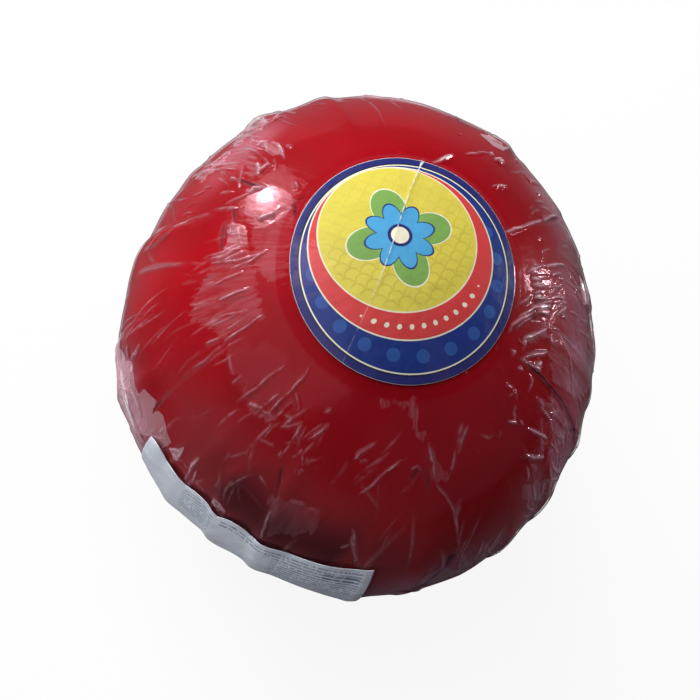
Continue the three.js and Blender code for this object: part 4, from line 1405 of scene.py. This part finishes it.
def film_material():
    """Alpha = mirror + veil + shade, Metallic = mirror / Alpha; mirror = 1 - (1 - Fresnel)^faces."""
    material, tree = new_material("clear_wrapping_film")
    place = attribute(tree, "wrap_place", "Vector")
    off, slackened, folded, milk_and_sheen, painted_highlight = (
        attribute(tree, name) for name in ("stand_off", "slack", "fold", "milk_and_sheen", "painted_highlight"))
    # wet or dry: dry where a pane stands off, and inside the ragged outline of a patch
    blots = noise(tree, stretch(tree, place, (1.0, 1.0, 0.55)), 0.62, 3.0, 0.55)
    dryness = plus(tree, times(tree, off, 0.55), blots, times(tree, slackened, 0.5),
                   times(tree, attribute(tree, "pane"), 0.6))
    teeth = minus(tree, noise(tree, stretch(tree, place, (1.0, 1.0, 0.22)), 6.0), 0.5)
    crumbs = minus(tree, noise(tree, place, 5.0, 3.0), 0.5)
    ragged = plus(tree, times(tree, teeth, ramp(tree, milk_and_sheen, 0.1, 0.2, 7.0, 0.5)),
                  times(tree, crumbs, 1.2))
    let_go = ramp(tree, plus(tree, attribute(tree, "patch"), ragged), -0.05, 0.15)
    bridged = times(tree, let_go, ramp(tree, milk_and_sheen, 0.0, 0.05))
    dry = larger(tree, ramp(tree, dryness, DRY_FROM, DRY_TO), bridged)
    # fine creases, mostly where the film is slack
    loose = ramp(tree, slackened, 0.25, 0.9)
    lines = creases(tree, place, CREASE_SIZE)
    height = times(tree, lines, plus(tree, times(tree, loose, 0.16), 0.004))
    height = plus(tree, height, times(tree, noise(tree, place, 1.6), 0.10), times(tree, dry, 0.02))
    normal = bump(tree, height)
    # the mirror: more faces where it is dry or folded, none under painted shade, little at the rim;
    # the painted shade also darkens the outline, where the film is seen edge on
    slant = add(tree, "LayerWeight", {"Blend": 0.5}).outputs["Facing"]
    shade = larger(tree, attribute(tree, "shade"), ramp(tree, slant, 0.82, 0.97, 0.0, EDGE_SHADE))
    fresnel = add(tree, "Fresnel", {"IOR": FILM_IOR, "Normal": normal}).outputs[0]
    front = minus(tree, 1.0, add(tree, "NewGeometry").outputs["Backfacing"])
    faces = plus(tree, ramp(tree, dry, 0.0, 1.0, WET_FACES, DRY_FACES, "LINEAR"),
                 times(tree, folded, FOLD_FACES))
    through = maths(tree, "POWER", minus(tree, 1.0, fresnel), faces)
    mirror = times(tree, minus(tree, 1.0, through), minus(tree, 1.0, shade), front)
    drawn = band(tree, attribute(tree, "past_rim"), 0.0, 4.4, 1.6)
    mirror = times(tree, mirror, ramp(tree, drawn, 0.0, 1.0, 1.0, 0.12))
    # the veil: a thin haze over the whole film, a milky painted sheen in the patches, combed or even,
    # and painted glints in squiggles along the fine creases where slack
    scribble = times(tree, ramp(tree, lines, 0.45, 0.8),
                     ramp(tree, noise(tree, place, 1.1), 0.45, 0.6), loose, SCRIBBLE)
    veil = plus(tree, times(tree, ramp(tree, off, 0.5, 1.8, 0.15, 1.0), dry, 0.010), 0.0005)
    combed = noise(tree, stretch(tree, place, (1.0, 1.0, 0.16)), 7.0)
    thick = ramp(tree, milk_and_sheen, THICK_FROM, THICK_TO)
    combed = times(tree, ramp(tree, combed, 0.38, 0.62, -0.55, 0.55), minus(tree, 1.0, thick))
    smooth = times(tree, let_go, thick)
    scribble = times(tree, scribble, minus(tree, 1.0, smooth))
    veil = plus(tree, veil, times(tree, let_go, milk_and_sheen, plus(tree, combed, 1.0)), painted_highlight, scribble)
    # the limb: a painted reflection on loose film seen at a slant, purple turning brown towards the
    # outline
    grazing = ramp(tree, slant, 0.45, 1.0, kind="LINEAR")
    unstuck = larger(tree, ramp(tree, slackened, 0.15, 0.8, 0.08, 1.0), ramp(tree, off, 0.9, 1.6))
    limb = times(tree, grazing, unstuck, LIMB_REFLECTION)
    # all that hides, and its colour: haze, painted sheen and highlight, painted shade, and the limb's
    # painted reflection
    pale = plus(tree, veil, shade)
    all_veils = plus(tree, pale, limb)
    hidden = maths(tree, "ADD", mirror, all_veils, clamp=True)
    shine = share(tree, mirror, plus(tree, mirror, all_veils))
    rough = ramp(tree, noise(tree, place, 2.5), 0.3, 0.7, GLOSSIEST, DULLEST)
    veil_colour = paint(tree, HAZE_AND_SHEEN_PINK, HIGHLIGHT_WHITE, ramp(tree, painted_highlight, 0.28, 0.55))
    veil_colour = paint(tree, veil_colour, MILK_AND_SHEEN_PINK, smooth)
    veil_colour = paint(tree, veil_colour, PAINTED_SHADE_DARK, share(tree, shade, pale))
    edge = paint(tree, LIMB_REFLECTION_PURPLE, LIMB_REFLECTION_BROWN, ramp(tree, slant, 0.62, 0.9))
    veil_colour = paint(tree, veil_colour, edge, share(tree, limb, all_veils))
    inputs = {"Base Color": paint(tree, veil_colour, MIRROR_TINT, shine), "Metallic": shine,
              "Roughness": rough, "Alpha": hidden, "Normal": normal, "Specular IOR Level": 0.0}
    shader = add(tree, "BsdfPrincipled", inputs)
    finish_material(tree, shader.outputs[0], [*film_gores, tail], material)


film_material()

# %% [markdown]
# ## The round label's print
#
# The print is worked out from each corner's place on the flat label, in millimetres, so it bends
# with the paper. Each motif is a distance or an angle with a limit, painted over the ones before:
# a navy ring with a dark and a cream line, a navy ground, a red crescent with beads, a yellow disc
# with a scale pattern, and a blue flower with green leaves. An image could hold it, but this print
# stays sharp close up, and no file has to go with the scene.

# %% Label colours
NAVY = (0.016, 0.022, 0.150, 1)
NAVY_GROUND = (0.008, 0.032, 0.210, 1)
MID_BLUE = (0.022, 0.085, 0.330, 1)
INK = (0.012, 0.014, 0.050, 1)
CREAM = (0.86, 0.82, 0.62, 1)
YELLOW = (0.71, 0.61, 0.080, 1)
YELLOW_DEEP = (0.58, 0.47, 0.055, 1)
RED_PRINT = (0.66, 0.050, 0.052, 1)
SKY_BLUE = (0.075, 0.380, 0.700, 1)
LEAF_GREEN = (0.200, 0.400, 0.090, 1)
PAPER_WHITE = (0.85, 0.85, 0.85, 1)
LABEL_ROUGHNESS = 0.42
# Fine and slow grain, as for the wax.
LABEL_FINE, LABEL_SLOW = (3.0, 3.0, 0.02), (0.16, 2.0, 0.5)

# Where the print's top points, and how far up each motif's middle lies, in degrees and millimetres.
PRINT_UP = 137
CRESCENT_UP, BEADS_UP, DISC_UP, FLOWER_UP = 4.2, 6.0, 8.0, 7.5
DROPS_REACH, BEADS_REACH = 26.4, 24.3
DROPS_A_TURN, BEADS_A_TURN = 3.2, 5.5
SCALE_PITCH = 4.6
# The rim's rings: colour, radius where it starts, and how soft that border is.
RIM_RINGS = [(CREAM, 30.1, 0.1), (INK, 30.5, 0.1), (NAVY, 30.95, 0.1), (PAPER_WHITE, 33.08, 0.05)]


# %% Label material
def scale_lines(tree, x, y, pitch):
    """Rows of overlapping arcs: a thin line at half a pitch from each cell's foot."""
    row = maths(tree, "FLOOR", times(tree, y, 2 / pitch))
    shifted = plus(tree, times(tree, x, 1 / pitch), times(tree, row, 0.5))
    across = times(tree, minus(tree, maths(tree, "FRACT", shifted), 0.5), pitch)
    up = times(tree, maths(tree, "FRACT", times(tree, y, 2 / pitch)), pitch / 2)
    return band(tree, distance(tree, across, up), 0.40 * pitch, 0.50 * pitch, 0.3)


def petals(tree, x, y, number, inner, outer):
    """Outside a flower's outline by: radius - inner - outer x |cos(number x angle / 2)|."""
    angle = maths(tree, "ARCTAN2", minus(tree, y, FLOWER_UP), x)
    lobes = maths(tree, "ABSOLUTE", maths(tree, "COSINE", times(tree, angle, number / 2)))
    edge = maths(tree, "MULTIPLY_ADD", lobes, outer, inner)
    return minus(tree, distance(tree, x, y, 0.0, FLOWER_UP), edge)


def ring_of_dots(tree, angle, radius, a_turn, pitch, reach):
    """Distance to the nearest of the dots on a ring: its cell's part of the angle x pitch, and the
    radius less the ring's reach."""
    cell = minus(tree, maths(tree, "FRACT", times(tree, angle, a_turn)), 0.5)
    return distance(tree, times(tree, cell, pitch), radius, 0.0, reach)


def lay_print(tree, colour, away, layers):
    """Paints each layer's ink inside its limit of a distance, one over another."""
    for ink, limit in layers:
        colour = paint(tree, colour, ink, inside(tree, away, limit))
    return colour


def label_print(tree, place):
    """The print's colour: masks in millimetres, painted one over another."""
    upright = centred(tree, place, turn=np.radians(PRINT_UP - 90))
    split = add(tree, "SeparateXYZ", [upright]).outputs
    x, y = split["X"], split["Y"]
    # navy ground with a row of mid-blue drops
    low_angle = maths(tree, "ARCTAN2", x, times(tree, y, -1.0))
    drops = ring_of_dots(tree, low_angle, distance(tree, x, y), DROPS_A_TURN, 8.4, DROPS_REACH)
    colour = lay_print(tree, NAVY_GROUND, drops, [(MID_BLUE, 1.9)])
    # red crescent with cream beads that get smaller upwards
    crescent = distance(tree, x, y, 0.0, CRESCENT_UP)
    colour = lay_print(tree, colour, crescent, [(CREAM, 26.3), (RED_PRINT, 25.9)])
    about_beads = distance(tree, x, y, 0.0, BEADS_UP)
    beads = ring_of_dots(tree, low_angle, about_beads, BEADS_A_TURN, 3.9, BEADS_REACH)
    beads = plus(tree, beads, ramp(tree, y, -13.0, -7.0, 0.0, 2.0))
    colour = lay_print(tree, colour, beads, [(CREAM, 0.75)])
    # yellow disc with scales that fade upwards
    disc = distance(tree, x, y, 0.0, DISC_UP)
    colour = lay_print(tree, colour, disc, [(CREAM, 22.5), (YELLOW, 22.1)])
    scales = times(tree, scale_lines(tree, x, y, SCALE_PITCH), inside(tree, disc, 20.8, 1.5))
    scales = times(tree, scales, ramp(tree, y, 16.0, 4.0, 0.25, 0.75))
    colour = paint(tree, colour, YELLOW_DEEP, scales)
    # flower on leaves
    leaves = petals(tree, x, y, 4, 4.0, 11.0)
    colour = lay_print(tree, colour, leaves, [(CREAM, 0.45), (LEAF_GREEN, 0.0)])
    flower = petals(tree, x, y, 8, 6.2, 3.6)
    colour = lay_print(tree, colour, flower, [(NAVY, 0.5), (SKY_BLUE, 0.0)])
    middle = distance(tree, x, y, 0.0, FLOWER_UP)
    return lay_print(tree, colour, middle, [(NAVY, 3.4), (CREAM, 2.5)])


def ring_print(tree, colour, place):
    """The navy ring with its cream and dark lines, an ellipse like the label's edge."""
    round_place = centred(tree, place, turn=ROUND_TURN, size=(ROUND_LONG, ROUND_SHORT, 1.0))
    reach = add(tree, "VectorMath", [round_place], operation="LENGTH").outputs["Value"]
    radius = times(tree, reach, (ROUND_LONG + ROUND_SHORT) / 2)
    for ink, start, soft in RIM_RINGS:
        colour = paint(tree, colour, ink, ramp(tree, radius, start, start + soft))
    return colour


def crack_mask(tree, place):
    """1 on a hairline along the crease, broken up and fading towards its end."""
    way = np.array(LABEL_CREASE_TO) - np.array(LABEL_CREASE_FROM)
    length = np.linalg.norm(way)
    start = (LABEL_CREASE_FROM[0], LABEL_CREASE_FROM[1] - ROUND_OFFSET, 0.0)
    along_line = centred(tree, place, start, np.arctan2(way[1], way[0]))
    split = add(tree, "SeparateXYZ", [along_line]).outputs
    wander = times(tree, maths(tree, "SINE", times(tree, split["X"], 1 / 9.0)), 0.5)
    across = maths(tree, "ABSOLUTE", plus(tree, split["Y"], wander))
    broken = ramp(tree, noise(tree, stretch(tree, place, (0.5, 0.5, 0.5)), 1.0, 3.0), 0.36, 0.56)
    fade = ramp(tree, split["X"], 0.3 * length, length, 1.0, 0.15)
    width = ramp(tree, split["X"], 0.0, 5.0, 0.62, 0.16)
    return times(tree, ramp(tree, share(tree, across, width), 0.7, 1.2, 1.0, 0.0), broken, fade)


def label_material():
    """Print on coated paper, with a cracked hairline, faint wear and paper grain."""
    material, tree = new_material("round_label_print")
    place = attribute(tree, "print_place", "Vector")
    colour = ring_print(tree, label_print(tree, place), place)
    wear = noise(tree, place, 0.9, 4.0, 0.7)
    colour = paint(tree, colour, CREAM, ramp(tree, wear, 0.66, 0.8, 0.0, 0.2))
    colour = paint(tree, colour, PAPER_WHITE, times(tree, crack_mask(tree, place), 0.9))
    coated = bump(tree, grain(tree, place, LABEL_FINE, LABEL_SLOW)["Height"])
    inputs = {"Base Color": colour, "Roughness": LABEL_ROUGHNESS, "Normal": coated}
    shader = add(tree, "BsdfPrincipled", inputs)
    finish_material(tree, shader.outputs[0], [round_label], material)


label_material()

# %% [markdown]
# ## The strip label's paper
#
# Silvery white paper with rows of print too small to read. Rows are bands of one coordinate, and
# words are stretches of a noise that runs along each row. The rows at the left are small and
# slanting, faint at first. Those at the right are larger, with a bolder block near the end and two
# light lines through them where the ink is left out, a painted highlight of the folds' lit edges.
# The lower left is bare. Text objects could make letters, but print this small only shows as grey
# dashes.

# %% Strip material
STRIP_WHITE = (0.87, 0.92, 1.0, 1)
STRIP_GREY = (0.76, 0.82, 0.92, 1)
STRIP_INK = (0.13, 0.20, 0.31, 1)
STRIP_ROUGHNESS = 0.36
# Fine and slow grain, as for the wax.
STRIP_FIBRES, STRIP_SLOW = (2.2, 4.0, 0.03), (0.14, 2.0, 0.7)
ROW_PITCH = 2.4
# Where each kind of print begins and ends along the label, in millimetres from its middle.
SMALL_PRINT = (-37.0, -9.5)
LARGE_PRINT = (-7.0, 36.5)
BOLD_PRINT = (26.0, 36.0)
# Where rows begin and end down from the upper edge.
ALL_ROWS, SMALL_ROWS, BOLD_ROWS = (1.8, 45.5), (2.0, 17.0), (5.2, 11.6)
# Middle between the two lines without ink that paint the folds' lit edges.
FOLD_HIGHLIGHTS_MIDDLE = 7.4


def strip_rows(tree, x, y, pitch, reach):
    """Dashes in rows: a noise along each row, shifted from row to row, cut into words."""
    line = maths(tree, "FLOOR", times(tree, y, 1 / pitch))
    within = maths(tree, "FRACT", times(tree, y, 1 / pitch))
    along = add(tree, "CombineXYZ", [times(tree, x, 1.1), times(tree, line, 7.3)]).outputs[0]
    words = ramp(tree, noise(tree, along, 1.0, 3.0, 0.8), 0.42, 0.47)
    return times(tree, words, band(tree, within, 0.22, 0.72, 0.2), band(tree, x, *reach, 0.3))


def strip_material():
    """Pale paper with fibres, and grey dashes in small, large and bold rows."""
    material, tree = new_material("strip_label_paper")
    place = attribute(tree, "print_place", "Vector")
    split = add(tree, "SeparateXYZ", [place]).outputs
    x, y = split["X"], split["Y"]
    slanting = plus(tree, y, times(tree, x, 0.2))
    small = strip_rows(tree, x, slanting, 0.7 * ROW_PITCH, SMALL_PRINT)
    faint = ramp(tree, x, -22.0, -20.0, 0.16, 0.95)
    small = times(tree, small, faint, band(tree, y, *SMALL_ROWS, 0.4))
    large = strip_rows(tree, x, y, 0.85 * ROW_PITCH, LARGE_PRINT)
    large = times(tree, large, larger(tree, ramp(tree, x, 10.0, 12.0), ramp(tree, y, 5.5, 6.5, 1.0, 0.0)))
    # Two lines without ink: a painted highlight of the folds' lit edges.
    painted_fold_highlight = band(tree, maths(tree, "ABSOLUTE", plus(tree, x, -FOLD_HIGHLIGHTS_MIDDLE)), 5.5, 6.0, 0.2)
    ink = times(tree, larger(tree, large, small), band(tree, y, *ALL_ROWS, 0.3),
                ramp(tree, painted_fold_highlight, 0.0, 1.0, 0.66, 0.0))
    bold = strip_rows(tree, x, y, 1.1 * ROW_PITCH, BOLD_PRINT)
    bold = times(tree, bold, band(tree, y, *BOLD_ROWS, 0.2), 0.92)
    fibres = grain(tree, place, STRIP_FIBRES, STRIP_SLOW)
    paper = paint(tree, STRIP_GREY, STRIP_WHITE, ramp(tree, fibres["Fine"], 0.3, 0.7))
    colour = paint(tree, paper, STRIP_INK, larger(tree, ink, bold))
    inputs = {"Base Color": colour, "Roughness": STRIP_ROUGHNESS,
              "Normal": bump(tree, fibres["Height"])}
    shader = add(tree, "BsdfPrincipled", inputs)
    finish_material(tree, shader.outputs[0], [strip], material)


strip_material()

# %% [markdown]
# ## Stage, light and camera
#
# A plain pale floor and a dim room. The sparkle on the film comes from a small bright window on the
# left: a core, a second pane lower down, and an edge and a glow round them that are ever wider and
# weaker. A wide pale sky lies above it, a cool wall stands on the right, and a small window at the
# back on the right picks out that limb. Three fills light the wax and are not mirrored. A picture
# of a room could light it all at once, but here each light makes one reflection and moves alone.
# The camera looks down on the crown and is turned a little, so that the crown leans to the right.

# %% Camera
CAMERA_DISTANCE = 480.0
CAMERA_ELEVATION = np.radians(69.0)
CAMERA_TURN = np.radians(30.3)
CAMERA_LENS = 80.0
AIM_RIGHT, AIM_UP = -3.05, -2.17

level = np.array([1.0, 0.0, 0.0])
rising = np.array([0.0, np.sin(CAMERA_ELEVATION), np.cos(CAMERA_ELEVATION)])
toward = np.array([0.0, -np.cos(CAMERA_ELEVATION), np.sin(CAMERA_ELEVATION)])
camera_up = np.cos(CAMERA_TURN) * rising - np.sin(CAMERA_TURN) * level
camera_right = np.cos(CAMERA_TURN) * level + np.sin(CAMERA_TURN) * rising
camera_place = MIDDLE + toward * CAMERA_DISTANCE + camera_right * AIM_RIGHT + camera_up * AIM_UP

camera_data = bpy.data.cameras.new("camera")
camera_data.lens = CAMERA_LENS
camera = bpy.data.objects.new("camera", camera_data)
bpy.context.scene.collection.objects.link(camera)
turn = Matrix((camera_right, camera_up, toward)).transposed().to_4x4()
camera.matrix_world = Matrix.Translation(Vector(camera_place * MM)) @ turn
bpy.context.scene.camera = camera
print("camera at", (camera_place * MM).round(3))


# %% Lights
def soft_light(name, direction, distance_m, width, height, power, colour, mirrored=True):
    """A level rectangle of light in a direction from the ball, facing it, and not seen itself. Its
    width and height are in metres and its power in watts."""
    data = bpy.data.lights.new(name, "AREA")
    data.shape = "RECTANGLE"
    data.size, data.size_y = width, height
    data.energy, data.color = power, colour
    light = bpy.data.objects.new(name, data)
    bpy.context.scene.collection.objects.link(light)
    light.visible_camera = False
    light.visible_glossy = mirrored
    out = Vector(direction).normalized()
    across = Vector((0, 0, 1)).cross(out).normalized()
    facing = Matrix((across, out.cross(across), out)).transposed().to_4x4()
    light.matrix_world = Matrix.Translation(Vector(MIDDLE * MM) + out * distance_m) @ facing
    print(f"light {name}: {power} W, {distance_m} m away")


WARM_WHITE = (1.0, 0.98, 0.97)
soft_light("window", (-0.87, 0.41, 0.26), 1.0, 0.04, 0.09, 0.46, WARM_WHITE)
soft_light("window_low", (-0.84, 0.335, 0.41), 1.0, 0.07, 0.03, 0.24, WARM_WHITE)
soft_light("window_edge", (-0.87, 0.41, 0.26), 1.01, 0.11, 0.17, 0.55, WARM_WHITE)
soft_light("window_glow", (-0.86, 0.42, 0.28), 1.02, 0.32, 0.36, 0.7, (1.0, 0.98, 0.98))
soft_light("low_glow", (-0.72, 0.10, 0.69), 1.1, 0.35, 0.5, 0.33, (1.0, 0.98, 1.0))
soft_light("low_left", (-0.68, -0.73, -0.04), 0.6, 0.5, 0.05, 1.3, (0.98, 0.98, 1.0), mirrored=False)
soft_light("sky", (-0.55, -0.38, 0.74), 1.3, 1.7, 1.22, 3.2, (0.95, 0.96, 1.0))
soft_light("cool_wall", (0.85, -0.35, 0.35), 1.3, 1.8, 1.8, 1.1, (0.8, 0.66, 1.0))
soft_light("back_window", (0.66, 0.73, 0.17), 1.0, 0.16, 0.22, 2.2, (0.98, 0.96, 1.0))
soft_light("side_fill", (-0.72, 0.60, 0.35), 1.2, 0.7, 0.7, 15.8, (1.0, 0.99, 0.98), mirrored=False)
soft_light("top_fill", (-0.30, 0.10, 0.95), 1.2, 0.9, 0.9, 6.7, (1.0, 1.0, 1.0), mirrored=False)

# The room lights the ball dimly, and is pale where the camera looks past the floor.
ROOM_DIM, ROOM_SEEN = 0.06, 0.92
world = bpy.data.worlds.new("room")
bpy.context.scene.world = world
world.use_nodes = True
room = world.node_tree
room.nodes.clear()
dim = add(room, "Background", {"Color": (0.90, 0.93, 1.0, 1), "Strength": ROOM_DIM}).outputs[0]
pale = add(room, "Background", {"Color": (1.0, 1.0, 1.0, 1), "Strength": ROOM_SEEN}).outputs[0]
seen = add(room, "LightPath").outputs["Is Camera Ray"]
sky = add(room, "MixShader", {"Fac": seen, 1: dim, 2: pale}).outputs[0]
room.links.new(sky, room.nodes.new("ShaderNodeOutputWorld").inputs["Surface"])
bpy.context.scene.view_settings.view_transform = "Standard"


# %% Floor
FLOOR_HALF = 4000.0
FLOOR_GREY, FLOOR_GLOW = (0.09, 0.09, 0.09, 1), 0.90


def floor():
    """A plain pale floor, a little brighter to the camera than in what it reflects."""
    corners = np.array([[-1, -1, 0], [1, -1, 0], [1, 1, 0], [-1, 1, 0]]) * FLOOR_HALF * MM
    mesh = bpy.data.meshes.new("floor")
    mesh.from_pydata(corners.tolist(), [], [[0, 1, 2, 3]])
    piece = bpy.data.objects.new("floor", mesh)
    bpy.context.scene.collection.objects.link(piece)
    material, tree = new_material("pale_floor")
    matt = add(tree, "BsdfDiffuse", {"Color": FLOOR_GREY}).outputs[0]
    glow = add(tree, "Emission", {"Color": (1, 1, 1, 1), "Strength": FLOOR_GLOW}).outputs[0]
    both = add(tree, "AddShader", [matt, glow]).outputs[0]
    to_camera = add(tree, "LightPath").outputs["Is Camera Ray"]
    shader = add(tree, "MixShader", {"Fac": to_camera, 1: matt, 2: both}).outputs[0]
    finish_material(tree, shader, [piece], material)


floor()
